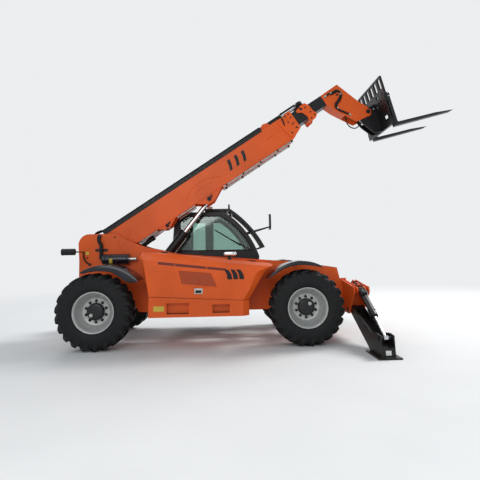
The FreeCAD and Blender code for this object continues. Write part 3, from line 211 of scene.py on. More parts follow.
def upholstery():
    """Woven seat cloth: soft and dull, its 1 mm threads drawn 3.125 mm wide so that they show."""
    mat, tree, where = blank("woven_seat_cloth")
    weave = add(tree, "TexVoronoi", {"Vector": where, "Scale": 1 / (3.125 * MM)})
    cloud = add(tree, "TexNoise", {"Vector": where, "Scale": 1 / (50 * MM), "Detail": 3.0, "Roughness": 0.5})
    faded = add(tree, "MapRange", [cloud, 0.4, 0.7, 0.0, 1.0])
    base = add(tree, "Mix", {0: faded, 6: linear("1D1E21"), 7: linear("2B2C31")}, **RGBA)
    relief = add(tree, "Bump", {"Height": weave, "Distance": 0.8 * MM, "Strength": 1.0})
    shader = add(tree, "BsdfPrincipled", {"Base Color": base, "Roughness": 0.92, "Sheen Weight": 0.3, "Normal": relief})
    add(tree, "OutputMaterial", [shader])
    return mat


# Work-worn machine paint: wide soft highlights, nearly no gloss left
ORANGE = enamel("orange_enamel", linear("DE5A1A"), 0.42, coat=0.03, dust=0.08)
# The same paint with painted shade for the hood's recess: darker, as the recess lies in shade, and dustier
ORANGE_PAINTED_SHADE = enamel("orange_enamel_painted_shade", linear("A8421A"), 0.5, coat=0.05, dust=0.2)
# Black paint of the cab and the boom's inner sections: a dim sheen along the edges
BLACK = enamel("black_enamel", linear("0C0D10"), 0.36, coat=0.1, dust=0.12)
# Glossier black paint of the fenders and the air cleaner, its colour tinted blue by a painted reflection of the sky
BLACK_PAINTED_SKY_BLUE = enamel("black_enamel_painted_sky_blue", linear("10141F"), 0.24, coat=0.4, dust=0.08, haze=0.12)
# Screen printed film: flat and even
SCREEN = plain("screen_print_black", linear("0A0B0E"), 0.46)
# The hood's printed band: dark brown red against the orange
MAROON = plain("screen_print_maroon", linear("6A281C"), 0.42)
# Moulded ABS: a coarse matt grain
PLASTIC = plain("moulded_black_plastic", linear("0F1114"), 0.45, grain=1.2, deep=0.15)
# Painted cast iron: lumpy and dull
CASTING = plain("painted_casting", linear("131416"), 0.6, grain=4.0, deep=0.5)
# Forged fork steel under black paint, which glints where it has worn
FORK_STEEL = plain("forged_steel", linear("121418"), 0.42, metal=0.25, grain=3.0, deep=0.3)
# Zinc plated steel: pale grey, half bright
ZINC = plain("zinc_plate", linear("A9ABA8"), 0.34, metal=1.0, grain=0.8)
# Hard chrome, ground and polished: a sharp bright streak along each rod
CHROME = plain("hard_chrome", linear("C9CBCD"), 0.08, metal=1.0, grain=0.4, deep=0.01, wear=0.03)
# Hose rubber over a braid: dull, with the braid's 2.2 mm ribs
HOSE = plain("braided_hose_rubber", linear("121315"), 0.7, grain=2.2, deep=0.5)
# Extruded window rubber: the dullest black
SEAL = plain("seal_rubber", linear("0C0D0E"), 0.8)
# Printed vinyl labels and piping: smooth, with a weak gloss
YELLOW = plain("yellow_vinyl", linear("BFA840"), 0.35)
GREY_VINYL = plain("grey_vinyl", linear("A9ADB0"), 0.5)
WHITE = plain("white_vinyl", linear("D8D8D2"), 0.38)
# Moulded polycarbonate lenses: deep colour under a clear shine
LENS_RED = plain("red_lens", linear("8A1210"), 0.12, clear=0.6)
LENS_CLEAR = plain("clear_lens", linear("C8CCD0"), 0.08, clear=0.8)
RUBBER, GLASS, MIRROR, CLOTH = tyre_rubber(), window_glass(), mirror_glass(), upholstery()

# Finish of each CAD node: the material, and the starts of its nodes' names
FINISH = [
    (RUBBER, "tyre"), (SCREEN, "boom_cover"), (FORK_STEEL, "forks"), (ZINC, "hood_mirror"), (HOSE, "hoses"),
    (CLOTH, "seat"), (GLASS, "cab_glass door_glass"), (PLASTIC, "steering lamps mirrors"),
    (BLACK_PAINTED_SKY_BLUE, "fenders air_cleaner"), (CASTING, "knuckle axle driveline engine_block"),
    (ORANGE, "chassis_frame pod_base engine_hood boom_outer middle_collar boom_head"),
    (CHROME, "lift_rod levelling_rod tilt_rod extension_rod stabiliser_rod"),
    (BLACK, "boom_middle boom_inner fork_carriage lift_cylinder levelling_cylinder tilt_cylinder extension_cylinder"
            " stabiliser_leg stabiliser_cylinder cab_shell cab_door side_tank roof_guard screen_guard"),
]
# Slot of the record that a new piece fills by its material, where the piece names no other
SLOTS = {mat.name: slot for slot, finishes in (
    ("orange_paint", (ORANGE, ORANGE_PAINTED_SHADE)), ("black_paint", (BLACK, CASTING)), ("tyre", (RUBBER,)),
    ("silver_paint", (ZINC, GREY_VINYL, WHITE)), ("glass", (MIRROR,)),
    ("black_plastic", (SCREEN, MAROON, PLASTIC, BLACK_PAINTED_SKY_BLUE, HOSE, SEAL, CLOTH, YELLOW, LENS_RED, LENS_CLEAR)),
) for mat in finishes}


def dress(obj, mat):
    """The object in one material alone."""
    obj.data.materials.clear()
    obj.data.materials.append(mat)


for node_name, node in nodes.items():
    for mat, starts in FINISH:
        if node_name.startswith(tuple(starts.split())):
            dress(node, mat)
for end, axle_x in AXLES.items():
    for side, sign in SIDES.items():
        dress(nodes["rim_%s_%s" % (end, side)], rim_enamel("rim_enamel_%s_%s" % (end, side), axle_x, sign))


def piece(name, verts, faces, body, mat, slot=None, smooth=False, sharp=None, bevel=0.0, segments=2):
    """A mesh piece that rides on a body; sharp is the angle in radians past which a smooth piece keeps its edges."""
    slot = slot or SLOTS[mat.name]
    mesh = bpy.data.meshes.new(name)
    mesh.from_pydata(np.asarray(verts).tolist(), [], faces)
    mesh.validate()
    outward = bmesh.new()
    outward.from_mesh(mesh)
    bmesh.ops.recalc_face_normals(outward, faces=outward.faces)
    outward.to_mesh(mesh)
    outward.free()
    mesh.shade_smooth() if smooth else mesh.shade_flat()
    obj = bpy.data.objects.new(name, mesh)
    bpy.context.scene.collection.objects.link(obj)
    obj.data.materials.append(mat)
    if bevel:
        mod = obj.modifiers.new("edge", "BEVEL")
        mod.width, mod.segments, mod.limit_method = bevel, segments, "ANGLE"
        mod.angle_limit = math.radians(32)
        mesh.shade_smooth()
        mesh.set_sharp_from_angle(angle=math.radians(60))
    if sharp:
        mesh.set_sharp_from_angle(angle=sharp)
    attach(obj, body)
    return obj


def vec(*point):
    """A point or a direction as an array."""
    return np.array(point, float)


def unit(line):
    """The same direction at length one."""
    return np.asarray(line, float) / np.linalg.norm(line)


def square(line):
    """Three directions at right angles to each other, the last of them along the line."""
    along = unit(line)
    side = unit(np.cross(along, (0.0, 0.0, 1.0) if abs(along[2]) < 0.9 else (1.0, 0.0, 0.0)))
    return np.stack([side, np.cross(along, side), along])


# A place function sets an outline's (a, b) and its depth in the machine's frame

def plan(a, b, depth):
    """Seen from above: a along X, b along Y, the depth along Z."""
    return np.stack(np.broadcast_arrays(a, b, depth), -1)


def flat(a, b, depth=0.0):
    """Seen from the side: a along X, b along Z, the depth along Y."""
    return np.stack(np.broadcast_arrays(a, depth, b), -1)


def across(a, b, depth):
    """Seen from ahead: a along Y, b along Z, the depth along X."""
    return np.stack(np.broadcast_arrays(depth, a, b), -1)


def side_view(origin, angle):
    """The place function of a side view; formula: (a, b) turned up by the angle about the origin (x, z)."""
    c, s = math.cos(angle), math.sin(angle)
    return lambda a, b, depth=0.0: flat(origin[0] + a * c - b * s, origin[1] + a * s + b * c, depth)


boom = side_view(PIVOT, BOOM_ANGLE)
BOOM_UP = boom(0, 1) - boom(0, 0)
nose = boom(*NOSE)
rack = side_view(nose[::2], FORK_ANGLE)


def rect(a0, b0, a1, b1):
    """The corners of an outline with four square corners."""
    return [(a0, b0), (a1, b0), (a1, b1), (a0, b1)]


class Lump:
    """Solid shapes gathered for one piece. Each method but build hands the lump back."""

    def __init__(self):
        self.verts, self.faces, self.count = [], [], 0

    def take(self, verts, faces):
        """More points, and the faces between them."""
        self.verts.append(verts)
        self.faces.extend((np.asarray(face) + self.count).tolist() for face in faces)
        self.count += len(verts)
        return self

    def both(self):
        """All so far a second time, on the machine's other side; formula: y to -y."""
        return self.take(np.concatenate(self.verts) * (1, -1, 1), list(self.faces))

    def prism(self, outline, place, low, high):
        """Two copies of the outline, set by place(a, b, depth) at depths low and high, quads between their edges."""
        a, b = np.array(outline, float).T
        count, here = len(a), np.arange(len(a))
        after = (here + 1) % count
        walls = np.stack([here, after, after + count, here + count], -1)
        return self.take(np.concatenate([place(a, b, low), place(a, b, high)]), [here[::-1], here + count, *walls])

    def box(self, low, high):
        """The block between two opposite corners."""
        return self.prism(rect(*low[:2], *high[:2]), plan, low[2], high[2])

    def rod(self, start, stop, radius, sides=20, taper=1.0):
        """A round bar; formula: radius (cos t, sin t) square to the line from start to stop, each end closed."""
        start, stop = np.asarray(start, float), np.asarray(stop, float)
        side, other, along = square(stop - start)
        t = np.linspace(0, 2 * np.pi, sides, endpoint=False)[:, None]
        ring = radius * (np.cos(t) * side + np.sin(t) * other)
        here = np.arange(sides)
        after = (here + 1) % sides
        walls = np.stack([here, after, after + sides, here + sides], -1)
        return self.take(np.concatenate([start + ring, stop + taper * ring]), [here[::-1], here + sides, *walls])

    def peg(self, place, a, b, low, high, radius, sides=20, taper=1.0):
        """A round bar that stands square on a view at (a, b), from depth low to high."""
        return self.rod(place(a, b, low), place(a, b, high), radius, sides, taper)

    def hexagon(self, centre, axis, radius, high):
        """A bolt head on its washer, standing on centre along axis."""
        foot, axis = np.asarray(centre, float), unit(axis)
        self.rod(foot, foot + axis * high * 0.18, radius * 1.25, 20)
        return self.rod(foot + axis * high * 0.18, foot + axis * high, radius, 6)

    def bolt(self, place, a, b, depth, radius, high):
        """A bolt head at (a, b) of a side view, standing outwards from its depth."""
        return self.hexagon(place(a, b, depth), (0, math.copysign(1, depth), 0), radius, high)

    def build(self, name, body, mat, **look):
        """The piece itself, with what piece() takes of slot, smooth, sharp, bevel and segments."""
        return piece(name, np.concatenate(self.verts), self.faces, body, mat, **look)


def surface(name, grid, body, mat, closed_u=False, closed_v=False, slot=None, sharp=None):
    """A smooth piece from a grid, rows by columns by 3; formula: quads between neighbours, wrapped where closed."""
    rows, cols = grid.shape[:2]
    u = np.arange(rows if closed_u else rows - 1)
    v = np.arange(cols if closed_v else cols - 1)
    uu, vv = np.meshgrid(u, v, indexing="ij")
    u1, v1 = (uu + 1) % rows, (vv + 1) % cols
    quads = np.stack([uu * cols + vv, u1 * cols + vv, u1 * cols + v1, uu * cols + v1], -1).reshape(-1, 4)
    return piece(name, grid.reshape(-1, 3), quads.tolist(), body, mat, slot, smooth=True, sharp=sharp)


def smooth_line(points, per=6):
    """A line eased through its points; formula: the Catmull-Rom cubic of each four, at per steps t of a span."""
    p = np.array(points, float)
    p = np.vstack([2 * p[0] - p[1], p, 2 * p[-1] - p[-2]])
    t = np.linspace(0, 1, per, endpoint=False)[None, :, None]
    a, b, c, d = p[:-3, None], p[1:-2, None], p[2:-1, None], p[3:, None]
    line = 0.5 * (2 * b + (c - a) * t + (2 * a - 5 * b + 4 * c - d) * t ** 2 + (3 * b - 3 * c + d - a) * t ** 3)
    return np.vstack([line.reshape(-1, p.shape[1]), p[-2]])


def sweep(points, radius, sides=14, per=8):
    """Grid of a round tube; formula: a ring square to the eased line, carried along it without twist."""
    line = smooth_line(points, per)
    along = np.gradient(line, axis=0)
    along /= np.linalg.norm(along, axis=1)[:, None]
    side = np.cross(along[0], (0.3, 0.9, 0.31))
    angle = np.linspace(0, 2 * np.pi, sides, endpoint=False)[:, None]
    rings = []
    for spot, way in zip(line, along):
        side = unit(side - way * np.dot(side, way))
        rings.append(spot + radius * (np.cos(angle) * side + np.sin(angle) * np.cross(way, side)))
    return np.array(rings)


def capped(grid):
    """A tube's grid with each end drawn in to its middle, which closes it."""
    first, last = (np.broadcast_to(row.mean(axis=0), row.shape)[None] for row in (grid[0], grid[-1]))
    return np.concatenate([first, grid, last])


def hose(name, points, radius, body, mat=HOSE, sides=14):
    """A round cord with closed ends along the eased line through the points."""
    return surface(name, capped(sweep(points, radius, sides)), body, mat, closed_v=True)


def lathe(profile, centre, segments=96):
    """Grid of a turned shape; formula: each (radius, y) of the profile swept about an axis through centre along Y."""
    angle = np.linspace(0, 2 * np.pi, segments, endpoint=False)[:, None]
    radius, y = np.array(profile, float).T
    return flat(centre[0] + np.sin(angle) * radius, centre[2] + np.cos(angle) * radius, centre[1] + y)


def arc_between(a, b, radius, count=12):
    """Points on the arc from a to b, anticlockwise when radius is positive, b left out."""
    a, b = np.array(a, float), np.array(b, float)
    half = (b - a) / 2
    left = np.array([-half[1], half[0]]) / np.linalg.norm(half)
    middle = a + half + left * math.sqrt(radius ** 2 - half @ half) * math.copysign(1, radius)
    start, stop = (math.atan2(*(p - middle)[::-1]) for p in (a, b))
    if radius > 0 and stop < start:
        stop += 2 * math.pi
    if radius < 0 and stop > start:
        stop -= 2 * math.pi
    t = np.linspace(start, stop, count, endpoint=False)
    return np.stack([middle[0] + abs(radius) * np.cos(t), middle[1] + abs(radius) * np.sin(t)], -1)


def outline_of(corners, count=14):
    """A closed outline from (a, b) or (a, b, r) corners, an r carrying an arc to the next corner."""
    return np.vstack([arc_between(corner[:2], after[:2], corner[2], count) if len(corner) == 3 else vec(*corner)
                      for corner, after in zip(corners, corners[1:] + corners[:1])])


def rounded(points, share=0.3, count=5):
    """A closed outline, its corners eased; formula: (1-t)^2 a + 2t(1-t) b + t^2 c at corner b, share of each side."""
    b = np.array(points, float)
    a, c = b + (np.roll(b, 1, axis=0) - b) * share, b + (np.roll(b, -1, axis=0) - b) * share
    t = np.linspace(0, 1, count)[None, :, None]
    return ((1 - t) ** 2 * a[:, None] + 2 * t * (1 - t) * b[:, None] + t ** 2 * c[:, None]).reshape(-1, 2)


def seal(name, outline, y, radius, body):
    """A round bead along a closed (x, z) outline at one y; formula: a ring of points in each corner's mitre plane."""
    p = np.array(outline)
    before, after = p - np.roll(p, 1, axis=0), np.roll(p, -1, axis=0) - p
    before /= np.linalg.norm(before, axis=1)[:, None]
    after /= np.linalg.norm(after, axis=1)[:, None]
    along = before + after
    along /= np.linalg.norm(along, axis=1)[:, None]
    side = np.stack([-along[:, 1], along[:, 0]], -1)
    stretch = 1 / np.maximum(0.5, np.sum(side * np.stack([-after[:, 1], after[:, 0]], -1), axis=1))
    angle = np.linspace(0, 2 * np.pi, 10, endpoint=False)
    out = (side * stretch[:, None])[:, None] * (radius * np.cos(angle))[:, None]
    grid = flat(p[:, :1] + out[..., 0], p[:, 1:] + out[..., 1], y + radius * np.sin(angle))
    return surface(name, grid, body, SEAL, closed_u=True, closed_v=True)


def ring_of(centre, axis, radius, tube, around=40, across=12):
    """Grid of a torus; formula: (radius + tube cos b) round its axis by a, tube sin b along it."""
    a = np.linspace(0, 2 * np.pi, around, endpoint=False)[:, None]
    b = np.linspace(0, 2 * np.pi, across, endpoint=False)[None, :]
    away = radius + tube * np.cos(b)
    return np.stack([away * np.cos(a), away * np.sin(a), tube * np.sin(b) + 0 * a], -1) @ square(axis) + centre


def signed_power(value, exponent):
    """|value| to the exponent, with the value's own sign."""
    return np.sign(value) * np.abs(value) ** exponent


def tilted(middle, turn, x, y, z):
    """Points about a middle; formula: (x, z) turned by turn about Y, then moved to the middle."""
    c, s = math.cos(turn), math.sin(turn)
    return np.stack([middle[0] + x * c + z * s, middle[1] + y, middle[2] - x * s + z * c], -1)


def crowned(name, middle, half, power, turn, mat, body="machine", slot=None, groove_at=None):
    """A crowned block with an optional sewn channel on each side, at the share groove_at of its half width.

    Formula: |x/a|^n + |y/b|^n + |z/c|^m = 1 with the signs kept, turned about Y by turn; a channel is a bell of
    8 mm that takes 10% of the height.
    """
    lat = np.linspace(-np.pi / 2, np.pi / 2, 40)[:, None]
    lon = np.linspace(-np.pi, np.pi, 56, endpoint=False)[None, :]
    flat_power, high_power = power
    x = half[0] * signed_power(np.cos(lat), high_power) * signed_power(np.cos(lon), flat_power)
    y = half[1] * signed_power(np.cos(lat), high_power) * signed_power(np.sin(lon), flat_power)
    z = half[2] * signed_power(np.sin(lat), high_power) * np.ones_like(lon)
    if groove_at:
        groove = np.exp(-((np.abs(y) - groove_at * half[1]) / 0.008) ** 2)
        z, x = z * (1 - 0.10 * groove), x * (1 - 0.02 * groove)
    return surface(name, tilted(middle, turn, x, y, z), body, mat, closed_v=True, slot=slot)


# Tyre carcass from its bead to the middle of its tread: radius, distance from the tyre's middle
CARCASS = [
    (0.3055, 0.15), (0.322, 0.158), (0.338, 0.166), (0.372, 0.187), (0.41, 0.197), (0.455, 0.1985), (0.5, 0.194),
    (0.535, 0.184), (0.56, 0.17), (0.574, 0.148), (0.58, 0.11), (0.583, 0.05), (0.584, 0.0),
]
BORE = [(0.306, 0.1), (0.306, 0.0), (0.306, -0.1)]
LUGS = 22
# One lug's line: distance from the tyre's middle, travel along the tread, top radius, foot radius
LUG_LINE = [
    (0.003, 0.058, 0.6245, 0.57), (0.03, 0.046, 0.6245, 0.57), (0.07, 0.024, 0.623, 0.57), (0.11, 0.002, 0.62, 0.568),
    (0.145, -0.02, 0.616, 0.562), (0.172, -0.04, 0.608, 0.548), (0.19, -0.055, 0.59, 0.53),
    (0.1985, -0.066, 0.566, 0.505), (0.2, -0.074, 0.536, 0.48),
]
# Across a lug: sideways share of half its width, height share
LUG_ACROSS = np.array([(-1.0, 0.0), (-0.88, 0.55), (-0.8, 0.93), (-0.7, 1.0), (0.7, 1.0), (0.8, 0.93), (0.88, 0.55),
                       (1.0, 0.0)])
LUG_HALF = 0.03
LUG_WIDER = 0.12
TREAD_R = 0.6
GROUND_GAP = 0.0005


def tyre(end, side):
    """A turned carcass with two rows of bar lugs that wrap on to its shoulders.

    Formula of a lug: its line across the tread, times its section, wound round the axle by travel / TREAD_R.
    """
    x, y = AXLES[end], WHEEL_Y * SIDES[side]
    near = smooth_line([(r, -a) for r, a in CARCASS], 5)
    grid = lathe(np.vstack([near, near[-2::-1] * (1, -1), BORE]), (x, y, HUB_Z), 132)
    rows, cols = grid.shape[:2]
    uu, vv = np.meshgrid(np.arange(rows), np.arange(cols), indexing="ij")
    u1, v1 = (uu + 1) % rows, (vv + 1) % cols
    skin = np.stack([uu * cols + vv, u1 * cols + vv, u1 * cols + v1, uu * cols + v1], -1).reshape(-1, 4)
    middle, travel, top, foot = smooth_line(LUG_LINE, 3).T[:, :, None]
    shift, rise = LUG_ACROSS.T
    wound = (travel + shift * LUG_HALF * (1 + LUG_WIDER * middle / 0.2)) / TREAD_R
    turn = (2 * np.pi * np.arange(LUGS) / LUGS)[None, :, None, None] + wound
    half = np.array([1, -1])[:, None, None, None]
    high = foot + (top - foot) * rise
    lugs = flat(x + np.sin(turn) * high, HUB_Z + np.cos(turn) * high, y + half * middle)
    long, wide = lugs.shape[2:4]
    i, j = (k.ravel() for k in np.meshgrid(np.arange(long - 1), np.arange(wide - 1), indexing="ij"))
    sides = np.stack([i * wide + j, (i + 1) * wide + j, (i + 1) * wide + j + 1, i * wide + j + 1], -1)
    lid = np.arange(wide // 2 - 1)
    lid = np.stack([lid, lid + 1, wide - 2 - lid, wide - 1 - lid], -1)
    one_lug = np.vstack([sides, lid, lid + (long - 1) * wide])
    base = rows * cols + long * wide * np.arange(2 * LUGS)
    points = np.vstack([grid.reshape(-1, 3), lugs.reshape(-1, 3)])
    points[:, 2] = np.maximum(points[:, 2], GROUND_GAP)
    faces = np.vstack([skin, (one_lug + base[:, None, None]).reshape(-1, 4)])
    obj = piece("tread_%s_%s" % (end, side), points, faces.tolist(), "wheel_%s_%s" % (end, side), RUBBER,
                smooth=True, sharp=math.radians(38))
    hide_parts("tyre_%s_%s" % (end, side))


# Rim section, once round: the cap and dish seen from outside, then the well and disc seen from inside.
# Columns: radius, distance out from the wheel's middle
RIM = [
    (0.0, 0.061), (0.108, 0.061), (0.122, 0.058), (0.134, 0.048), (0.139, 0.038), (0.14, -0.013), (0.143, -0.015),
    (0.212, -0.015), (0.222, -0.011), (0.232, 0.0), (0.27, 0.052), (0.282, 0.08), (0.2875, 0.105), (0.294, 0.128),
    (0.303, 0.148), (0.312, 0.164), (0.32, 0.171), (0.328, 0.1745), (0.333, 0.172), (0.331, 0.165), (0.3045, 0.15),
    (0.3045, 0.0), (0.3045, -0.15), (0.331, -0.164), (0.333, -0.172), (0.326, -0.176), (0.312, -0.168),
    (0.298, -0.158), (0.292, -0.12), (0.286, -0.06), (0.278, -0.034), (0.262, -0.034), (0.15, -0.034),
    (0.108, -0.036), (0.104, -0.124), (0.062, -0.125), (0.0605, -0.06), (0.0605, -0.016), (0.0, -0.0155),
]
NUTS = 10
NUT_RING = 0.171
# The filler plug in a hub: distance ahead of the axle, distance above it
PLUG = {"front": (0.052, 0.058), "rear": (-0.062, -0.056)}


def rim(end, side):
    """A turned rim with a deep dish, its nuts on their studs, and the hub's filler plug."""
    x, sign = AXLES[end], SIDES[side]
    body, tag = "wheel_%s_%s" % (end, side), "_%s_%s" % (end, side)
    grid = lathe(np.array(RIM) * (1, sign), (x, WHEEL_Y * sign, HUB_Z), 96)
    obj = surface("dish" + tag, grid, body, nodes["rim" + tag].data.materials[0], closed_u=True, slot="silver_paint",
                  sharp=math.radians(32))
    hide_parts("rim_%s_%s" % (end, side))
    nuts = Lump()
    for a in 2 * np.pi * np.arange(NUTS) / NUTS:
        foot = vec(x + NUT_RING * math.sin(a), sign * (WHEEL_Y - 0.0155), HUB_Z + NUT_RING * math.cos(a))
        nuts.hexagon(foot, (0, sign, 0), 0.0195, 0.026).rod(foot, foot + vec(0, sign * 0.04, 0), 0.01, 12)
    nuts.build("nuts" + tag, body, BLACK)
    at = x + PLUG[end][0], HUB_Z + PLUG[end][1]
    face, top = sign * (WHEEL_Y + 0.0602), sign * (WHEEL_Y + 0.067)
    plug = Lump().peg(flat, *at, face, top, 0.03, 32, taper=0.94).bolt(flat, *at, top, 0.015, 0.01)
    plug.build("hub_plug" + tag, body, ZINC, bevel=0.001)


for end in AXLES:
    for side in SIDES:
        tyre(end, side)
        rim(end, side)

# Boom: strips along the lower flanges, three blank slanted bars, screws
Lump().prism(rect(0.46, -0.236, 4.14, -0.224), boom, 0.2002, 0.212).both().build(
    "boom_flange_strip", "boom", ORANGE, bevel=0.001)
# Columns: distance along the bar's foot, distance above it
SLANTED_BAR = np.array([(0, 0), (0.06, 0), (0.104, 0.11), (0.12, 0.2), (0.056, 0.2), (0.04, 0.11)])
marks = Lump()
for k in range(3):
    marks.prism(SLANTED_BAR + (2.78 + 0.16 * k, -0.075), boom, 0.2003, 0.2012)
marks.both().build("boom_bars", "boom", SCREEN)
screws = Lump()
for w in (-0.1, 0.02, 0.14, 0.22):
    screws.bolt(boom, 4.34, w, 0.2141, 0.012, 0.012)
for k in range(9):
    screws.hexagon(boom(0.5 + 0.42 * k, 0.3422, 0.1), BOOM_UP, 0.008, 0.008)
screws.both().build("boom_screws", "boom", BLACK)

# Hood, on its outer face: blank bars, printed band, painted shade in the recess, crease, latch; a blank label on the
# pod
FACE_Y = -1.2005
HOOD_BAR = np.array([(0, 1.108), (0.078, 1.108), (0.062, 1.19), (0.016, 1.262), (-0.052, 1.27), (-0.012, 1.19)])
marks = Lump()
for k in range(3):
    marks.prism(HOOD_BAR + (-0.76 + 0.098 * k, 0), flat, FACE_Y, FACE_Y - 0.0012)
marks.build("hood_bars", "hood", SCREEN)
strip = Lump()
for ring in ([(-1.889, 1.412), (-1.62, 1.382), (-1.62, 1.338), (-1.879, 1.368)],
             [(-1.606, 1.38), (-1.105, 1.322), (-1.105, 1.281), (-1.606, 1.336)],
             [(-1.091, 1.32), (-0.775, 1.284), (-0.79, 1.246), (-1.091, 1.279)]):
    strip.prism(ring, flat, FACE_Y, FACE_Y - 0.001)
strip.build("hood_strip", "hood", MAROON)
# A thin darker orange sheet in the recess: painted shade
Lump().prism([(-1.551, 1.263), (-1.505, 1.052), (-0.935, 0.993), (-1.028, 1.213)], flat, -1.1911, -1.1917).build(
    "hood_recess_painted_shade", "hood", ORANGE_PAINTED_SHADE)
# Upper and lower edge of the crease, x and z
UPPER_CREASE = [(-1.955, 1.33), (-1.8, 1.32), (-1.674, 1.311), (-1.618, 1.275), (-1.63, 1.193), (-1.564, 1.069),
                (-1.49, 1.027), (-1.2, 1.004), (-0.92, 0.982)]
LOWER_CREASE = [(-0.922, 0.972), (-1.2, 0.992), (-1.5, 1.013), (-1.582, 1.036), (-1.615, 1.095), (-1.662, 1.2),
                (-1.705, 1.24), (-1.83, 1.252), (-1.975, 1.262)]
crease = np.vstack([smooth_line(UPPER_CREASE, 4), smooth_line(LOWER_CREASE, 4)])
Lump().prism(crease, flat, FACE_Y + 0.001, FACE_Y - 0.0055).build(
    "hood_crease", "hood", ORANGE, bevel=0.0035, segments=3)
Lump().box((-1.3, FACE_Y - 0.01, 0.885), (-1.165, FACE_Y, 0.975)).build("hood_latch_plate", "hood", ZINC, bevel=0.004)
Lump().box((-1.28, FACE_Y - 0.016, 0.9), (-1.185, FACE_Y - 0.0101, 0.945)).build(
    "hood_latch_paddle", "hood", PLASTIC, bevel=0.003)
Lump().box((-1.955, FACE_Y - 0.0012, 0.62), (-1.785, FACE_Y, 0.7)).build("pod_label", "machine", YELLOW)

# Boom: pipes under the flange and their clips. Columns: from u, to u, radius, drops below the pivot line
pipes = Lump()
for u0, u1, radius, drops in ((2.5, 4.13, 0.0075, (0.248, 0.266)), (1.46, 1.86, 0.006, (0.248, 0.264)),
                              (0.62, 1.01, 0.006, (0.248, 0.264))):
    for drop in drops:
        pipes.rod(boom(u0, -drop, 0.194), boom(u1, -drop, 0.194), radius, 16)
pipes.both().build("boom_pipes", "boom", ZINC, smooth=True, sharp=0.6)
clips = Lump()
for u in (2.56, 2.95, 3.35, 3.75, 4.08):
    clips.prism(rect(u, -0.278, u + 0.03, -0.2355), boom, 0.183, 0.2045)
clips.both().build("boom_pipe_clips", "boom", PLASTIC, bevel=0.002)

# Collars: a cheek plate on each side with its wear pads' screws. Columns of an outline and of the screws: u, w
CHEEK = [(4.06, 0.2), (4.2, 0.16), (4.33, 0.085), (4.392, -0.01), (4.397, -0.105), (4.345, -0.155),
         (4.262, -0.18), (4.175, -0.205), (4.12, -0.165), (4.095, 0.02)]
MIDDLE_CHEEK = [(4.512, 0.195), (4.6, 0.215), (4.752, 0.215), (4.79, 0.16), (4.8, 0.02), (4.835, -0.075),
                (4.775, -0.128), (4.64, -0.15), (4.632, -0.105), (4.64, -0.02), (4.6, 0.1), (4.51, 0.15)]
PADS = [(4.3, 0.015), (4.25, 0.09), (4.33, -0.08), (4.2, -0.12)]
MIDDLE_PADS = [(4.7, 0.15), (4.745, 0.02), (4.78, -0.07), (4.69, -0.09), (4.63, 0.165)]
for name, body, outline, y0, y1, pads, radius in (
        ("collar", "boom", CHEEK, 0.2005, 0.2185, PADS, 0.013),
        ("middle", "middle_section", MIDDLE_CHEEK, 0.1725, 0.1945, MIDDLE_PADS, 0.012)):
    Lump().prism(outline, boom, y0, y1).both().build(name + "_cheeks", body, ORANGE, bevel=0.003)
    adjusters = Lump()
    for u, w in pads:
        adjusters.bolt(boom, u, w, y1, radius, radius + 0.001)
    adjusters.both().build(name + "_adjusters", body, BLACK)

# The extension cylinder's bracket, gland and eye plates, and the hoses over the middle section
Lump().prism([(3.74, 0.2445), (3.95, 0.2445), (3.935, 0.29), (3.9, 0.33), (3.82, 0.346), (3.765, 0.318)],
             boom, 0.127, 0.139).both().build("cover_bracket", "boom", ORANGE, bevel=0.002)
RAM_W = 0.288
gland = Lump().rod(boom(4.17, RAM_W), boom(4.225, RAM_W), 0.043, 32)
gland.rod(boom(4.225, RAM_W), boom(4.238, RAM_W), 0.036, 32)
gland.box(boom(4.05, RAM_W) - vec(0.03, 0.05, 0.02), boom(4.05, RAM_W) + vec(0.03, -0.02, 0.03))
gland.build("extension_gland", "boom", BLACK, bevel=0.002)
Lump().prism([(4.6, 0.25), (4.745, 0.235), (4.745, 0.33), (4.71, 0.352), (4.64, 0.352), (4.6, 0.32)],
             boom, 0.061, 0.078).both().build("extension_bracket", "middle_section", BLACK, bevel=0.002)
# Columns: u, w, share of the hose's distance from the boom's middle
TOP_HOSE = [(4.56, 0.205, 0.9), (4.58, 0.262, 1.0), (4.64, 0.292, 1.1), (4.71, 0.276, 1.05), (4.742, 0.222, 0.9)]
for k, y in enumerate((-0.1, 0.1)):
    hose("middle_top_hose_%d" % k, boom(*np.transpose(np.array(TOP_HOSE) * (1, 1, y))), 0.0135, "middle_section")

# Head: the hose loop on its right cheek, the one behind it, and the one that hangs to the nose. Columns: u, w
HEAD_HOSE = [(5.2, 0.118), (5.274, 0.12), (5.36, 0.104), (5.427, 0.098), (5.466, 0.05), (5.443, -0.025),
             (5.348, -0.087), (5.262, -0.118), (5.228, -0.17), (5.24, -0.24), (5.3, -0.335), (5.36, -0.43)]
NOSE_HOSE = [(5.345, -0.4), (5.285, -0.47), (5.25, -0.56), (5.262, -0.66), (5.32, -0.725), (5.395, -0.735),
             (5.455, -0.7), (5.475, -0.63)]
HOSE_Y = -0.1715
hose("head_hose", boom(*np.transpose(HEAD_HOSE), HOSE_Y), 0.0165, "inner_section")
hose("head_hose_inner", boom(*np.transpose(np.array(HEAD_HOSE[1:-1]) + (0.012, -0.03)), HOSE_Y + 0.006), 0.011,
     "inner_section")
hose("nose_hose", boom(*np.transpose(NOSE_HOSE), -0.1), 0.011, "inner_section")
fittings = Lump()
for u, w, du, dw in ((5.2, 0.118, -0.045, 0.0), (5.36, -0.43, 0.02, -0.035)):
    fittings.rod(boom(u, w, HOSE_Y), boom(u + du, w + dw, HOSE_Y), 0.019, 6)
    fittings.peg(boom, u + du, w + dw, HOSE_Y, -0.1445, 0.016, 16)
for u, w in ((5.3, 0.112), (5.45, -0.008), (5.245, -0.21)):
    fittings.box(boom(u, w, -0.19) - vec(0.016, 0, 0.012), boom(u, w, -0.1455) + vec(0.016, 0, 0.012))
fittings.build("head_fittings", "inner_section", ZINC, bevel=0.0015)
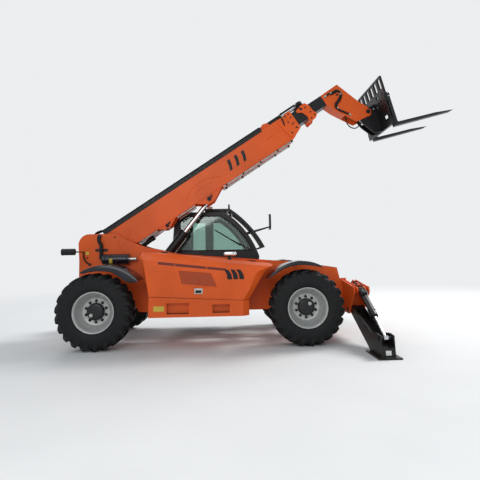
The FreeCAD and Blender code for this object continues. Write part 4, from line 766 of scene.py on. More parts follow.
pins = Lump().peg(boom, *NOSE, 0.1555, 0.166, 0.044, 40).bolt(boom, NOSE[0] - 0.02, NOSE[1] + 0.02, 0.166, 0.011, 0.01)
pins.peg(boom, 5.4, 0.02, 0.1455, 0.15, 0.022, 32)
pins.both().build("head_pins", "inner_section", CASTING, bevel=0.0015)

# Cylinder pins with their keepers on the boom's brackets, and the boom pin's retainers on the tower
LIFT_EYE, COMP_EYE = (2.15, -0.297), (1.22, -0.277)
KEEPER = np.array([(-0.016, -0.01), (0.085, 0.012), (0.085, 0.04), (-0.016, 0.018)])
pins = Lump()
for (u, w), r in ((LIFT_EYE, 0.04), (COMP_EYE, 0.032)):
    pins.peg(boom, u, w, 0.2095, 0.222, r, 36).prism(KEEPER + (u, w), boom, 0.2225, 0.2275)
    pins.bolt(boom, u + 0.068, w + 0.024, 0.2275, 0.009, 0.008)
pins.both().build("boom_pins", "boom", CASTING, bevel=0.0015)
RETAINER = np.array([(-0.112, -0.012), (-0.098, -0.023), (0.098, -0.023), (0.112, -0.012), (0.112, 0.012),
                     (0.098, 0.023), (-0.098, 0.023), (-0.112, 0.012)])
retainers = Lump().prism(RETAINER + PIVOT, flat, 0.3385, 0.3482)
for dx in (-0.09, 0.09):
    retainers.peg(flat, PIVOT[0] + dx, PIVOT[1], 0.3255, 0.3483, 0.0215, 28)
retainers.both().build("pivot_retainers", "machine", BLACK, bevel=0.001)

# Tower and frame: cable gland, plugs in the lifting holes, blank label, weld beads, hood hinge barrels
tower = Lump().bolt(flat, -3.237, 1.376, -0.3532, 0.02, 0.012).peg(flat, -3.284, 1.493, -0.3252, -0.334, 0.014, 24)
tower.peg(flat, -2.798, 1.862, -0.3252, -0.328, 0.016, 24).peg(flat, -2.798, 1.862, 0.3252, 0.328, 0.016, 24)
tower.build("tower_fittings", "machine", PLASTIC, bevel=0.001)
Lump().box((-3.318, -0.3264, 1.548), (-3.262, -0.3252, 1.606)).build("yellow_labels", "machine", YELLOW)
beads = Lump()
for x0, x1, z in ((-3.3, -2.53, 0.806), (-2.345, 0.175, 0.512), (1.02, 1.59, 0.456)):
    beads.rod((x0, 0.3265, z), (x1, 0.3265, z), 0.0045, 8)
beads.both().build("frame_weld_beads", "machine", ORANGE, smooth=True)


def hinge_line(x):
    """A point of the hood's hinge line, which falls by 245 mm over 2200."""
    return vec(x, -0.338, 1.59 - (x + 2.19) * 245 / 2200 + 0.0092)


barrels, halves = Lump(), Lump()
for x in (-1.95, -0.35):
    for k in range(3):
        start = x + 0.04 * k
        (barrels if k == 1 else halves).rod(hinge_line(start + 0.001), hinge_line(start + 0.039), 0.0092, 20)
        if k != 1:
            low = hinge_line(start + 0.002) + vec(0, 0, -0.0082)
            halves.box(low, low + vec(0.036, 0.0132, 0.003))
barrels.build("hood_hinge_barrels", "hood", BLACK, smooth=True, sharp=0.6)
halves.build("frame_hinge_barrels", "machine", BLACK, smooth=True, sharp=0.6)

# Axles: flange ring and bolts round the differential, kingpin caps with their bolts
FLANGE = [(0.185, -0.018), (0.206, -0.016), (0.21, -0.012), (0.21, 0.012), (0.206, 0.016), (0.185, 0.018)]
FLANGE_BOLTS = 14
for end, axle_x in AXLES.items():
    surface("axle_flange_" + end, lathe(FLANGE, (axle_x, 0.0, HUB_Z), 72), "machine", CASTING, closed_u=True,
            closed_v=True, slot="dark_casting")
    bolts = Lump()
    for a in 2 * np.pi * (np.arange(FLANGE_BOLTS) + 0.5) / FLANGE_BOLTS:
        bolts.bolt(flat, axle_x + 0.198 * math.sin(a), HUB_Z + 0.198 * math.cos(a), 0.0165, 0.009, 0.01)
    for up in (-1, 1):
        for dx in (-0.035, 0.035):
            bolts.hexagon((axle_x + dx, KING_Y, HUB_Z + up * 0.1325), (0, 0, up), 0.01, 0.01)
        bolts.peg(plan, axle_x, KING_Y, HUB_Z + up * 0.1318, HUB_Z + up * 0.139, 0.036, 28)
    bolts.both().build("axle_bolts_" + end, "machine", CASTING, slot="dark_casting")

# Fenders: rolled outer edge, arm bolts, and a skirt turned down over the tyre.
# Columns: arc's middle x and z, radius, then the arc's start and stop as (x from its middle, z)
FENDERS = {"front": (0.55 - 0.089, 0.681, 0.703, (-0.561, 1.104), (0.358, 1.286)),
           "rear": (-2.92 + 0.179, 0.664, 0.711, (-0.387, 1.261), (0.548, 1.117))}
# Columns: degrees along the arc, depth of the skirt there
SKIRTS = {"front": ((142.5, 0.006), (130, 0.046), (118, 0.05), (104, 0.06), (93, 0.062), (81, 0.062), (70, 0.046),
                    (60.5, 0.01)),
          "rear": ((121.5, 0.036), (109, 0.07), (91, 0.098), (79, 0.104), (68, 0.134), (56, 0.15), (47, 0.134),
                   (42.5, 0.088), (40.2, 0.03))}
# A skirt's section: share of its depth, distance from the machine's middle
SKIRT_SHARE = np.array([0.0, 0.2, 0.5, 0.8, 0.95, 1.0, 0.97, 0.8, 0.5, 0.2, 0.0])
SKIRT_Y = np.array([1.2125, 1.2185, 1.221, 1.217, 1.212, 1.208, 1.206, 1.212, 1.216, 1.2135, 1.2065])
for end, (cx, cz, radius, start, stop) in FENDERS.items():
    t = np.linspace(math.atan2(start[1] - cz, start[0]), math.atan2(stop[1] - cz, stop[0]), 40)
    at, drop = np.array(SKIRTS[end]).T
    turn = np.linspace(at[0], at[-1], 72)
    depth = np.interp(turn, at[::-1], drop[::-1])
    depth = np.convolve(np.pad(depth, 3, mode="edge"), np.full(7, 1 / 7), "valid")
    rho, turn = radius - 0.004 - depth[:, None] * SKIRT_SHARE, np.radians(turn)[:, None]
    for side, sign in SIDES.items():
        line = flat(cx + (radius - 0.007) * np.cos(t), cz + (radius - 0.007) * np.sin(t), sign * 1.2135)
        # Edge and skirt in black paint with a painted blue reflection of the sky
        surface("fender_edge_%s_%s" % (end, side), sweep(line, 0.0085, 10, 1), "machine", BLACK_PAINTED_SKY_BLUE, closed_v=True)
        skirt = flat(cx + rho * np.cos(turn), cz + rho * np.sin(turn), sign * SKIRT_Y)
        surface("fender_skirt_%s_%s" % (end, side), capped(skirt), "machine", BLACK_PAINTED_SKY_BLUE, closed_v=True,
                sharp=math.radians(60))
        bolts = Lump()
        for y in (0.8, 0.95, 1.08):
            for a in (math.pi / 2 - 0.035, math.pi / 2 + 0.035):
                out = vec(math.cos(a), 0, math.sin(a))
                bolts.hexagon(vec(cx, sign * y, cz) + out * (radius + 0.0003), out, 0.008, 0.006)
        bolts.build("fender_bolts_%s_%s" % (end, side), "machine", BLACK)

# Air cleaner: clamp bands with their latch, zinc outlet, and a blank label laid round its body
AIR = vec(-2.98, -0.4173, 1.46)
bands = Lump()
for dx in (0.04, 0.135, 0.425):
    bands.rod(AIR + vec(dx, 0, 0), AIR + vec(dx + 0.022, 0, 0), 0.0945, 56)
bands.box(AIR + vec(0.04, -0.115, -0.014), AIR + vec(0.062, -0.085, 0.014))
bands.build("cleaner_bands", "machine", BLACK, bevel=0.001)
mouth = AIR + vec(0.4705, 0, 0)
sleeve = Lump().rod(mouth, mouth + vec(0.1245, 0, 0), 0.0312, 36).rod(mouth, mouth + vec(0.0195, 0, 0), 0.037, 36)
sleeve.build("cleaner_outlet", "machine", ZINC, smooth=True, sharp=0.6)
wrap = np.radians(np.linspace(-48, 8, 15))[:, None]
away = np.array([0.095, 0.095, 0.0962, 0.0962])
patch = flat(np.array([-2.85, -2.792, -2.792, -2.85]), AIR[2] + away * np.sin(wrap), AIR[1] - away * np.cos(wrap))
surface("cleaner_label", capped(patch), "machine", YELLOW, closed_v=True)

# Rear lamp: red lens in a ribbed black can; work lamp and beacon socket on the guard; small lamp under it


def lamp_at(x):
    """A point on the rear lamp's axis."""
    return vec(x, -0.85, 1.6)


Lump().rod(lamp_at(-3.545), lamp_at(-3.549), 0.05, 40).build("rear_lens", "machine", LENS_RED, bevel=0.002)
can = Lump().rod(lamp_at(-3.546), lamp_at(-3.52), 0.0575, 48)
can.rod(lamp_at(-3.345), lamp_at(-3.325), 0.0575, 48, taper=0.8)
for k in range(5):
    can.rod(lamp_at(-3.49 + 0.028 * k), lamp_at(-3.482 + 0.028 * k), 0.0565, 48)
can.build("rear_lamp_can", "machine", PLASTIC)
work = Lump().box((-1.144, 0.712, 2.442), (-1.136, 0.808, 2.528)).box((-1.045, 0.712, 2.442), (-1.036, 0.808, 2.528))
work.build("work_lamp_frame", "machine", PLASTIC, bevel=0.003)
Lump().box((-1.1415, 0.7135, 2.4435), (-1.0385, 0.8065, 2.5265)).build("work_lamp_body", "machine", WHITE, bevel=0.006)
cap = Lump().peg(plan, -0.685, 0.76, 2.452, 2.47, 0.03, 32).peg(plan, -0.685, 0.76, 2.47, 2.572, 0.0195, 32, taper=0.9)
cap.build("beacon_socket", "machine", PLASTIC, bevel=0.002)
spot = Lump().rod((-0.69, 0.42, 2.312), (-0.642, 0.42, 2.304), 0.042, 36)
spot.rod((-0.7, 0.42, 2.26), (-0.672, 0.42, 2.3), 0.01, 12).build("front_lamp_can", "machine", PLASTIC, bevel=0.003)
Lump().rod((-0.6425, 0.42, 2.3041), (-0.632, 0.42, 2.3023), 0.037, 36, taper=0.8).build(
    "front_lamp_lens", "machine", WHITE, bevel=0.002)

# Pod: studded plates in the two step recesses; on the left side, treads, tank cap and louvres
steps = Lump()
for x0, x1, z in ((-1.742, -1.393, 0.572), (-1.006, -0.733, 0.58)):
    steps.box((x0, -1.196, z + 0.0003), (x1, -1.113, z + 0.005))
    for i in range(int((x1 - x0) / 0.045)):
        for y in (-1.176, -1.14):
            steps.peg(plan, x0 + 0.022 + 0.045 * i, y, z + 0.005, z + 0.0085, 0.008, 10, taper=0.7)
steps.build("step_plates", "machine", BLACK)
treads = Lump()
for i in range(9):
    for y in (1.035, 1.08, 1.125):
        treads.peg(plan, -1.205 + 0.05 * i, y, 0.5598, 0.5645, 0.009, 10, taper=0.7)
treads.build("step_treads", "machine", BLACK)
tank = Lump().peg(flat, -1.78, 0.63, 1.1495, 1.176, 0.045, 40, taper=0.94)
for k in range(6):
    tank.box((-1.62 + 0.055 * k, 1.1502, 0.52), (-1.6 + 0.055 * k, 1.156, 0.67))
tank.build("tank_fittings", "machine", PLASTIC, bevel=0.002)

# Cab: rubber beads round the panes. Columns: x, z, and the radius of an arc to the next corner
WINDOW = [(-1.69, 1.6), (-0.24, 1.6, 1.56), (-0.85, 2.285), (-1.59, 2.285), (-1.67, 2.18)]
DOOR_LIGHT = [(-1.48, 1.42), (-0.3, 1.42), (-0.3, 1.48, 1.48), (-0.88, 2.22), (-1.48, 2.22)]
seal("window_seal", outline_of(WINDOW), 0.3355, 0.01, "machine")
seal("door_seal", outline_of(DOOR_LIGHT), 1.1895, 0.01, "door")
rear_pane = across(*np.transpose(rect(0.415, 1.65, 1.11, 2.14)), -1.796)
beads = Lump()
for a, b in zip(rear_pane, np.roll(rear_pane, -1, axis=0)):
    beads.rod(a, b, 0.009, 10)
beads.build("rear_pane_seal", "machine", SEAL, smooth=True)


def screen_curve(z0, z1, out, y, count=14):
    """Points up the windscreen's arc from z0 to z1 at one y; formula: each moved along the arc's normal by out."""
    run = arc_between((-0.158, 1.5005), (-0.762, 2.3), 1.68, 200)
    run = run[(run[:, 1] >= z0) & (run[:, 1] <= z1)]
    run = run[np.linspace(0, len(run) - 1, count).astype(int)]
    slope = np.gradient(run, axis=0)
    slope /= np.linalg.norm(slope, axis=1)[:, None]
    return flat(run[:, 0] + slope[:, 1] * out, run[:, 1] - slope[:, 0] * out, y)


# Cab: wipers, handle and pull of the door, its pillar and hinge bolts, grab rail
wiper = Lump().rod((-0.15, 0.8, 1.475), (-0.105, 0.8, 1.488), 0.016, 24)
arm = screen_curve(1.49, 1.98, 0.028, 0.8)
for line, radius in ((arm, 0.006), (screen_curve(1.68, 2.2, 0.014, 0.772), 0.008)):
    for a, b in zip(line[:-1], line[1:]):
        wiper.rod(a, b, radius, 8)
wiper.box((arm[-1][0] - 0.02, 0.765, arm[-1][2] - 0.02), (arm[-1][0] + 0.012, 0.806, arm[-1][2] + 0.012))
wiper.build("windscreen_wiper", "machine", PLASTIC, smooth=True, sharp=0.7)
wiper = Lump().peg(flat, -0.25, 1.592, 0.334, 0.318, 0.018, 24)
wiper.rod((-0.25, 0.32, 1.592), (-0.64, 0.322, 1.8), 0.01, 12)
wiper.rod((-0.47, 0.329, 1.69), (-0.985, 0.329, 2.01), 0.012, 12)
wiper.build("side_wiper", "machine", PLASTIC, smooth=True, sharp=0.7)
handle = Lump().box((-0.5, 1.1905, 1.25), (-0.375, 1.205, 1.33)).box((-0.49, 1.205, 1.3), (-0.395, 1.226, 1.322))
handle.peg(flat, -0.4, 1.275, 1.2045, 1.214, 0.012, 24).build("door_handle", "door", PLASTIC, bevel=0.004)
DOOR_PULL = [(-0.585, 1.188, 1.05), (-0.59, 1.225, 1.06), (-0.59, 1.24, 1.12), (-0.59, 1.24, 1.3), (-0.59, 1.225, 1.36),
             (-0.585, 1.188, 1.37)]
GRAB_RAIL = [(-1.69, 1.188, 1.1), (-1.695, 1.228, 1.11), (-1.695, 1.242, 1.18), (-1.7, 1.242, 1.6),
             (-1.705, 1.228, 1.67), (-1.7, 1.188, 1.68)]
surface("door_pull", sweep(DOOR_PULL, 0.012), "door", BLACK, closed_v=True)
surface("grab_rail", sweep(GRAB_RAIL, 0.013), "machine", BLACK, closed_v=True)
hinges = Lump()
for z in (0.97, 1.03, 1.72, 1.78):
    hinges.bolt(flat, -1.59, z, 1.196, 0.007, 0.006)
hinges.build("door_hinge_bolts", "machine", ZINC, slot="black_paint")
Lump().prism(rect(-1.204, 1.424, -1.027, 2.216), flat, 1.15, 1.1875).build("door_pillar", "door", BLACK, bevel=0.004)

# Mirrors: glass and shell of the cab's mirror, stalk and shell of the hood's
Lump().box((0.2128, 1.236, 2.068), (0.215, 1.414, 2.392)).build("cab_mirror_glass", "machine", MIRROR, bevel=0.001)
crowned("cab_mirror_shell", (0.24, 1.325, 2.23), (0.024, 0.098, 0.176), (0.35, 0.35), 0.0, PLASTIC)
stalk = Lump().peg(plan, -0.711, -0.6, 1.418, 1.5, 0.03, 28).peg(plan, -0.711, -0.6, 1.4195, 1.43, 0.044, 32)
stalk.build("hood_mirror_stalk", "hood", PLASTIC, bevel=0.001)
shell = crowned("hood_mirror_shell", (-0.703, -0.6, 1.523), (0.113, 0.04, 0.038), (0.55, 0.6), 0.0, MIRROR,
                body="hood", slot="silver_paint")
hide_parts("hood_mirror")

# Inside the cab: seat frame with its bellows
base = Lump().box((-1.445, 0.6, 0.806), (-1.085, 0.92, 0.88))
for k in range(5):
    inset, z = 0.004 * k, 0.882 + 0.026 * k
    base.box((-1.44 + inset, 0.606 + inset, z), (-1.09 - inset, 0.914 - inset, z + 0.02))
base.box((-1.49, 0.535, 1.012), (-1.0, 0.985, 1.046)).build("seat_frame", "machine", PLASTIC, bevel=0.006)


def stuffed(obj, cell, reach, lowest):
    """Foam under cloth: the piece swells by cloth simulation, each point by reach at most and none below lowest."""
    remesh = obj.modifiers.new("voxels", "REMESH")
    remesh.mode, remesh.voxel_size = "VOXEL", cell
    shaped = bpy.data.meshes.new_from_object(obj.evaluated_get(bpy.context.evaluated_depsgraph_get()))
    obj.modifiers.clear()
    obj.data = shaped
    start = np.zeros(len(shaped.vertices) * 3)
    shaped.vertices.foreach_get("co", start)
    swollen = start.copy()
    cloth = obj.modifiers.new("cloth", "CLOTH")
    cloth.settings.use_pressure = True
    cloth.settings.uniform_pressure_force = 4.0
    cloth.settings.effector_weights.gravity = 0.0
    for step in range(1, 21):
        bpy.context.scene.frame_set(step)
    blown = obj.evaluated_get(bpy.context.evaluated_depsgraph_get()).data
    blown.vertices.foreach_get("co", swollen)
    obj.modifiers.clear()
    bpy.context.scene.frame_set(1)
    move = (swollen - start).reshape(-1, 3)
    length = np.linalg.norm(move, axis=1)
    move *= np.minimum(1.0, reach / np.maximum(length, 1e-9))[:, None]
    points = start.reshape(-1, 3) + move
    points[:, 2] = np.maximum(points[:, 2], lowest)
    shaped.vertices.foreach_set("co", points.ravel())
    shaped.shade_smooth()
    soft = obj.modifiers.new("soft", "SUBSURF")
    soft.levels = soft.render_levels = 1


def piping(name, obj, ring, radius=0.0065):
    """Sewn piping; formula: the ring's nearest points on the cushion, eased by thirds, with a thin tube along them."""
    tree = bvhtree.BVHTree.FromObject(obj, bpy.context.evaluated_depsgraph_get())
    line = np.array([tuple(tree.find_nearest(Vector(p))[0]) for p in ring])
    line = (line + np.roll(line, 1, axis=0) + np.roll(line, -1, axis=0)) / 3
    along = np.roll(line, -1, axis=0) - np.roll(line, 1, axis=0)
    along /= np.linalg.norm(along, axis=1)[:, None]
    side = np.cross(along, line - line.mean(axis=0))
    side /= np.linalg.norm(side, axis=1)[:, None]
    angle = np.linspace(0, 2 * np.pi, 8, endpoint=False)[None, :, None]
    grid = line[:, None] + radius * (np.cos(angle) * side[:, None] + np.sin(angle) * np.cross(along, side)[:, None])
    return surface(name, grid, "machine", GREY_VINYL, closed_u=True, closed_v=True)


def oval(middle, half, power, turn, level, count=96):
    """Ring round a crowned block; formula: (a cos^n t, b sin^n t) with the signs kept, at one height of its frame."""
    t = np.linspace(0, 2 * np.pi, count, endpoint=False)
    x, y = half[0] * signed_power(np.cos(t), power), half[1] * signed_power(np.sin(t), power)
    return tilted(middle, turn, x, y, np.full_like(t, level))


# Seat: padded cushion, back and headrest, then their piping and the arm rests
CUSHION_AT, BACK_AT, BACK_LEAN = (-1.24, 0.76, 1.098), (-1.482, 0.76, 1.48), -0.12
cushion = crowned("seat_cushion", CUSHION_AT, (0.248, 0.228, 0.052), (0.42, 0.55), 0.0, CLOTH, groove_at=0.66)
back = crowned("seat_back", BACK_AT, (0.04, 0.22, 0.312), (0.62, 0.42), BACK_LEAN, CLOTH, groove_at=0.66)
head = crowned("seat_headrest", (-1.518, 0.76, 1.912), (0.034, 0.11, 0.094), (0.6, 0.5), -0.1, CLOTH)
for part, reach, lowest in ((cushion, 0.010, 1.0465), (back, 0.008, 1.168), (head, 0.006, 1.812)):
    stuffed(part, 0.006, reach, lowest)
    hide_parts("seat")
piping("seat_cushion_piping", cushion, oval(CUSHION_AT, (0.262, 0.242), 0.42, 0.0, 0.012))
piping("seat_back_piping", back, oval(BACK_AT, (0.33, 0.236), 0.45, math.pi / 2 + BACK_LEAN, 0.03))
rests = Lump()
for y in (0.545, 0.975):
    rests.box((-1.43, y - 0.03, 1.345), (-1.13, y + 0.03, 1.385)).box((-1.44, y - 0.012, 1.2), (-1.4, y + 0.012, 1.35))
rests.box((-1.5, 0.56, 1.1), (-1.47, 0.96, 1.25)).build("seat_arms", "machine", PLASTIC, bevel=0.01, segments=3)

# Joystick console, dash and its screen, steering wheel
levers = Lump().box((-1.2, 0.395, 0.9), (-0.88, 0.5, 1.24)).rod((-1.0, 0.45, 1.24), (-0.975, 0.45, 1.33), 0.012, 20)
levers.rod((-0.975, 0.45, 1.33), (-0.965, 0.45, 1.4), 0.022, 24, taper=1.2)
levers.build("joystick_console", "machine", PLASTIC, bevel=0.006)
Lump().prism([(-0.33, 1.402), (-0.19, 1.322), (-0.176, 1.338), (-0.25, 1.452), (-0.32, 1.47)], flat, 0.56, 0.96).build(
    "dash_hood", "machine", PLASTIC, bevel=0.008)
Lump().prism([(-0.3325, 1.408), (-0.3225, 1.464), (-0.3205, 1.464), (-0.3305, 1.408)], flat, 0.62, 0.9).build(
    "dash_screen", "machine", LENS_CLEAR)
COLUMN_LEAN = math.radians(-38.16)
column = vec(math.sin(COLUMN_LEAN), 0, math.cos(COLUMN_LEAN))
wheel_at = vec(-0.52, 0.76, 1.44)
grip = surface("steering_rim", ring_of(wheel_at, column, 0.189, 0.0145, 72, 14), "machine", PLASTIC, closed_u=True,
               closed_v=True)
sideways = vec(0, 1, 0)
ahead = np.cross(column, sideways)
spokes = Lump()
for a in 2 * np.pi * np.arange(3) / 3 + np.pi / 2:
    way = sideways * math.cos(a) + ahead * math.sin(a)
    spokes.rod(wheel_at + way * 0.03, wheel_at + way * 0.185, 0.0095, 14)
spokes.rod(wheel_at - column * 0.02, wheel_at + column * 0.016, 0.044, 36, taper=0.9)
spokes.rod(wheel_at - column * 0.02, wheel_at - column * 0.1485, 0.03, 28)
spokes.build("steering_spokes", "machine", PLASTIC, bevel=0.002)
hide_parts("steering_wheel")


def ram_details(name, body, start, eye, reach, tube, pipe_side):
    """Gland, end cap, two port blocks and a pipe on a cylinder; formula: all laid off from start towards the eye."""
    along = unit(eye - start)
    over = unit(pipe_side - along * np.dot(pipe_side, along))

    def at(far, out=0.0):
        return start + along * far + over * out

    kit = Lump().rod(at(reach - 0.065), at(reach + 0.004), tube + 0.008, 48).rod(at(0.085), at(0.115), tube + 0.006, 48)
    kit.build(name + "_gland", body, BLACK, bevel=0.002)
    plumbing = Lump()
    for far in (0.14, reach - 0.1):
        plumbing.rod(at(far, tube - 0.002), at(far, tube + 0.024), 0.016, 6)
    plumbing.rod(at(0.14, tube + 0.017), at(reach - 0.1, tube + 0.017), 0.0065, 14)
    plumbing.build(name + "_pipe", body, ZINC)


# Columns: cylinder, its base, its rod's eye, length and radius of its tube, the way its pipe faces
for name, base_at, eye, reach, tube, pipe_side in (
        ("lift", vec(-2.37, 0, 0.912), boom(*LIFT_EYE), 1.33, 0.082, (1, 0, 0)),
        ("levelling", vec(-2.74, 0, 1.41), boom(*COMP_EYE), 0.76, 0.042, (0, 0, 1)),
        ("tilt", boom(5.4, 0.02), rack(-0.105, -0.173), 0.42, 0.04, (0, -1, 0))):
    ram_details(name, name + "_barrel", base_at, eye, reach, tube, vec(*pipe_side))

# Stabilisers: ram details, lock valve, pins and their caps, blank label on the foot, hoses, webs of the brackets
LEG_X = 1.5
# Columns: x from the leg's middle as a factor of the hose's own, y, z
LEG_HOSE = [(1, 0.5, 0.951), (1, 0.56, 0.985), (1.5, 0.7, 0.998), (2, 0.82, 0.975), (2, 0.93, 0.935)]
for side, sign in SIDES.items():
    start, eye = vec(LEG_X, sign * 0.97, 0.875), vec(LEG_X, sign * 1.98, 0.27)
    barrel, leg = "stabiliser_%s_barrel" % side, "stabiliser_" + side
    ram_details(leg, barrel, start, eye, 0.69, 0.05, vec(0.55, 0, 1))
    along = unit(eye - start)
    over = vec(0, -along[2], along[1]) * sign

    def on_barrel(a, b, depth):
        """Along the barrel b from its base and over it by the depth, a to the machine's front."""
        return start + along * 0.07 + plan(a, b, depth) @ np.stack([vec(1, 0, 0), along, over])

    valve = Lump().prism(rect(-0.06, 0.0, 0.06, 0.13), on_barrel, -0.02, 0.064)
    valve.prism(rect(-0.046, 0.02, 0.046, 0.11), on_barrel, 0.064, 0.078)
    valve.build("lock_valve_" + side, barrel, BLACK, bevel=0.006)
    pins, caps = Lump(), Lump()
    for way in (-1, 1):
        x = LEG_X + way * 0.146
        pins.peg(across, sign * 0.67, 0.52, x, x + way * 0.008, 0.04, 32)
        pins.hexagon((x + way * 0.008, sign * 0.67, 0.52), (way, 0, 0), 0.011, 0.009)
        x = LEG_X + way * 0.104
        caps.peg(across, sign * 1.98, 0.27, x, x + way * 0.007, 0.034, 32)
    pins.build("bracket_pins_" + side, "machine", CASTING, bevel=0.0015)
    caps.build("leg_pin_caps_" + side, leg, CASTING, bevel=0.0015)
    Lump().prism(rect(1.46, 0.045, 1.54, 0.11), lambda a, b, d: flat(a, b, sign * (2.0755 - (b - 0.03) * 0.0877 + d)),
                 0.0004, 0.0016).build("leg_label_" + side, leg, WHITE)
    for k, dx in enumerate((-0.022, 0.022)):
        hose("stabiliser_hose_%s_%d" % (side, k), np.array(LEG_HOSE) * (dx, sign, 1) + (LEG_X, 0, 0), 0.01, "machine")
Lump().prism(rect(0.568, 0.572, 0.583, 0.96), across, 1.3965, 1.6035).both().build("bracket_webs", "machine", ORANGE)

# Carriage: pin heads, latch pins over the forks, bolts, lashing ring, slotted side plates. In the carriage's frame
FORK_Y = 0.52
kit = Lump().peg(rack, -0.105, -0.173, 0.1135, 0.124, 0.034, 32)
kit.rod(rack(0.205, 0.141, FORK_Y), rack(0.205, 0.176, FORK_Y), 0.014, 20)
kit.rod(rack(0.205, 0.176, FORK_Y), rack(0.205, 0.186, FORK_Y), 0.022, 24)
for z in (-0.39, 0.06):
    for y in (0.18, 0.32, 0.42):
        kit.hexagon(rack(0.1745, z, y), rack(-1, 0) - rack(0, 0), 0.014, 0.014)
kit.both().build("carriage_pins", "carriage", CASTING)
surface("carriage_ring", ring_of(rack(0.262, 0.118, -0.598), (0.1, 1, 0.1), 0.036, 0.0085), "carriage", ZINC,
        closed_u=True, closed_v=True)
Lump().peg(rack, 0.25, 0.15, -0.584, -0.606, 0.013, 20).build("carriage_ring_lug", "carriage", BLACK)
fill = Lump()
for y0, y1, z0, z1 in ((0.302, 0.612, -0.236, -0.002), (0.302, 0.612, -0.328, -0.3), (0.302, 0.37, -0.3005, -0.2355),
                       (0.5, 0.612, -0.3005, -0.2355)):
    fill.prism(rect(0.18, z0, 0.196, z1), rack, y0, y1)
fill.both().build("carriage_fill", "carriage", BLACK, bevel=0.002)
Lump().bolt(rack, 0.14, 0.03, 0.1135, 0.015, 0.012).both().build("carriage_bolts", "carriage", ZINC)

# Weld beads: the doubler round the lift cylinder's bracket, its inner edge, the collar's end. Columns: u, w
BOOM_BEADS = [
    [(1.764, -0.075), (1.867, -0.012), (2.013, 0.055), (2.181, 0.065), (2.348, 0.04), (2.48, -0.007), (2.578, -0.088)],
    [(1.976, -0.075), (2.08, -0.042), (2.19, -0.044), (2.364, -0.058)],
    [(3.956, 0.233), (3.989, 0.124), (4.041, 0.043), (4.088, -0.02)],
    [(4.038, 0.043), (3.859, 0.041), (3.686, 0.036)],
]
# The boom's tail corner and the tower. Columns: x, z
TAIL_BEAD = [(-2.667, 2.037), (-2.573, 2.0), (-2.544, 1.952), (-2.56, 1.893), (-2.619, 1.823)]
TOWER_BEAD = [(-2.745, 1.79), (-2.705, 1.691), (-2.646, 1.598), (-2.565, 1.515), (-2.484, 1.468)]
for side, sign in SIDES.items():
    for k, line in enumerate(BOOM_BEADS):
        hose("boom_bead_%d_%s" % (k, side), boom(*np.transpose(line), sign * 0.2008), 0.0042, "boom", ORANGE, 8)
    hose("boom_tail_bead_" + side, flat(*np.transpose(TAIL_BEAD), sign * 0.2008), 0.0045, "boom", ORANGE, 8)
    hose("tower_bead_" + side, flat(*np.transpose(TOWER_BEAD), sign * 0.3262), 0.0055, "machine", ORANGE, 8)

# Collar: guard tube over the extension rod, a drooping hose, slots in the middle section's collar
guard = Lump().rod(boom(4.262, 0.338, -0.03), boom(4.612, 0.338, -0.03), 0.02, 28)
guard.rod(boom(4.262, 0.338, -0.03), boom(4.29, 0.338, -0.03), 0.0235, 28)
guard.build("extension_hose_guard", "middle_section", BLACK, bevel=0.0015)
# Columns: u, w, y
COLLAR_HOSE = [(4.125, 0.29, -0.09), (4.168, 0.292, -0.14), (4.196, 0.262, -0.198), (4.184, 0.206, -0.232),
               (4.17, 0.14, -0.2325), (4.15, 0.075, -0.227)]
hose("collar_hose", boom(*np.transpose(COLLAR_HOSE)), 0.0125, "boom")
slot_line = rounded([(4.606, 0.213), (4.574, 0.193), (4.62, 0.138), (4.652, 0.162)], 0.45)
Lump().prism(slot_line, boom, 0.1942, 0.1962).both().build("collar_slots", "middle_section", SCREEN)

# Hose cover: lid, side plates with their screws, and the hoses that turn down at the boom's tail
lid = Lump().prism(rect(0.165, 0.2245, 3.725, 0.3), boom, 0.2003, 0.2053)
for k in range(8):
    lid.bolt(boom, 0.4 + 0.45 * k, 0.262, 0.2053, 0.008, 0.007)
lid.both().prism(rect(0.165, 0.3303, 3.745, 0.3418), boom, -0.119, 0.119)
lid.build("cover_plates", "boom", SCREEN, bevel=0.002)
# Columns: u, w
TAIL_HOSE = [(0.215, 0.3), (0.13, 0.352), (0.03, 0.366), (-0.055, 0.325), (-0.095, 0.25), (-0.1, 0.18)]
for k, y in enumerate((-0.095, -0.045, 0.05)):
    hose("tail_hose_%d" % k, boom(*np.transpose(TAIL_HOSE), y), 0.015, "boom")

# Floor: pale concrete that fades into the backdrop's tone from 4.5 to 15 m away
BACKDROP = linear("ECEEF0")
FADE_FROM, FADE_TO = 4.5, 15.0
bpy.ops.mesh.primitive_plane_add(size=160, location=(0, 0, -GROUND_GAP))
floor = bpy.context.object
floor.name = "floor"
mat, tree, where = blank("pale_floor")
cloud = add(tree, "TexNoise", {"Vector": where, "Scale": 1 / (800 * MM), "Detail": 4.0, "Roughness": 0.5})
tone = add(tree, "Mix", {0: add(tree, "MapRange", [cloud, 0.35, 0.7, 0.0, 1.0]), 6: linear("DEDEDC"),
                         7: linear("DBDBD9")}, **RGBA)
concrete = add(tree, "BsdfPrincipled", {"Base Color": tone, "Roughness": 0.85})
far = add(tree, "VectorMath", [where], out="Value", operation="LENGTH")
fade = add(tree, "MapRange", [far, FADE_FROM, FADE_TO], interpolation_type="SMOOTHSTEP")
glow = add(tree, "Emission", {"Color": BACKDROP, "Strength": 1.0})
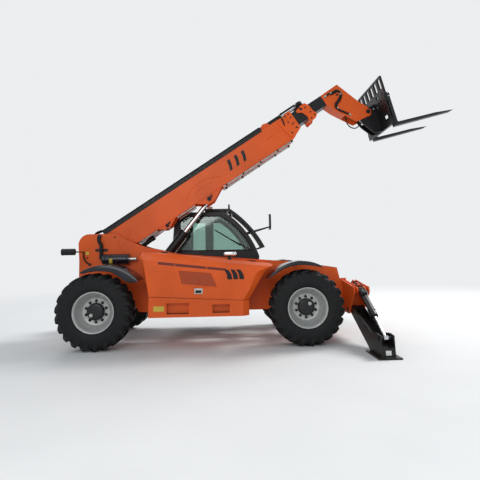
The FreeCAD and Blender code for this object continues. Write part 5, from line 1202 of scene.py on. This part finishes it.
add(tree, "OutputMaterial", [add(tree, "MixShader", [fade, concrete, glow])])
floor.data.materials.append(mat)

# Air: the camera and mirroring faces see the backdrop, and other light comes from a soft blue sky
world = bpy.data.worlds.new("studio")
bpy.context.scene.world = world
world.use_nodes = True
tree = world.node_tree
tree.nodes.clear()
air = add(tree, "Background", {"Color": linear("DDE6F0"), "Strength": 0.6})
backdrop = add(tree, "Background", {"Color": BACKDROP, "Strength": 1.0})
path = add(tree, "LightPath").node.outputs
seen = add(tree, "Math", [path["Is Glossy Ray"], path["Is Transmission Ray"]], operation="MAXIMUM")
seen = add(tree, "Math", [path["Is Camera Ray"], seen], operation="MAXIMUM")
add(tree, "OutputWorld", [add(tree, "MixShader", [seen, air, backdrop])])


def lamp(name, place, size, energy, aim=(0.0, 0.0, 1.6)):
    """A round area light of energy watts, turned to the machine's middle."""
    data = bpy.data.lights.new(name, "AREA")
    data.shape, data.size, data.energy = "DISK", size, energy
    obj = bpy.data.objects.new(name, data)
    obj.location = place
    obj.rotation_euler = (Vector(aim) - Vector(place)).to_track_quat("-Z", "Y").to_euler()
    bpy.context.scene.collection.objects.link(obj)


lamp("key", (14.0, 6.0, 15.5), 8.0, 3900)
lamp("fill", (-3.0, -12.0, 6.0), 7.0, 400)
lamp("rim", (-6.0, 7.0, 9.0), 6.0, 260)

# Camera: fitted to the photograph by the wheel centres and the ground line
CAMERA_AT = (-0.84, -8.097, 1.5)
YAW, PITCH, ROLL = math.radians(2.5), math.radians(5.57), math.radians(-1.0)
cam_data = bpy.data.cameras.new("camera")
cam_data.sensor_width, cam_data.lens, cam_data.shift_y = 36.0, 31.5, -26 / 480
camera = bpy.data.objects.new("camera", cam_data)
bpy.context.scene.collection.objects.link(camera)
bpy.context.scene.camera = camera
turned = Matrix.Rotation(-YAW, 4, "Z") @ Matrix.Rotation(math.pi / 2 + PITCH, 4, "X") @ Matrix.Rotation(ROLL, 4, "Z")
camera.matrix_world = Matrix.Translation(CAMERA_AT) @ turned
bpy.context.scene.view_settings.view_transform = "Standard"
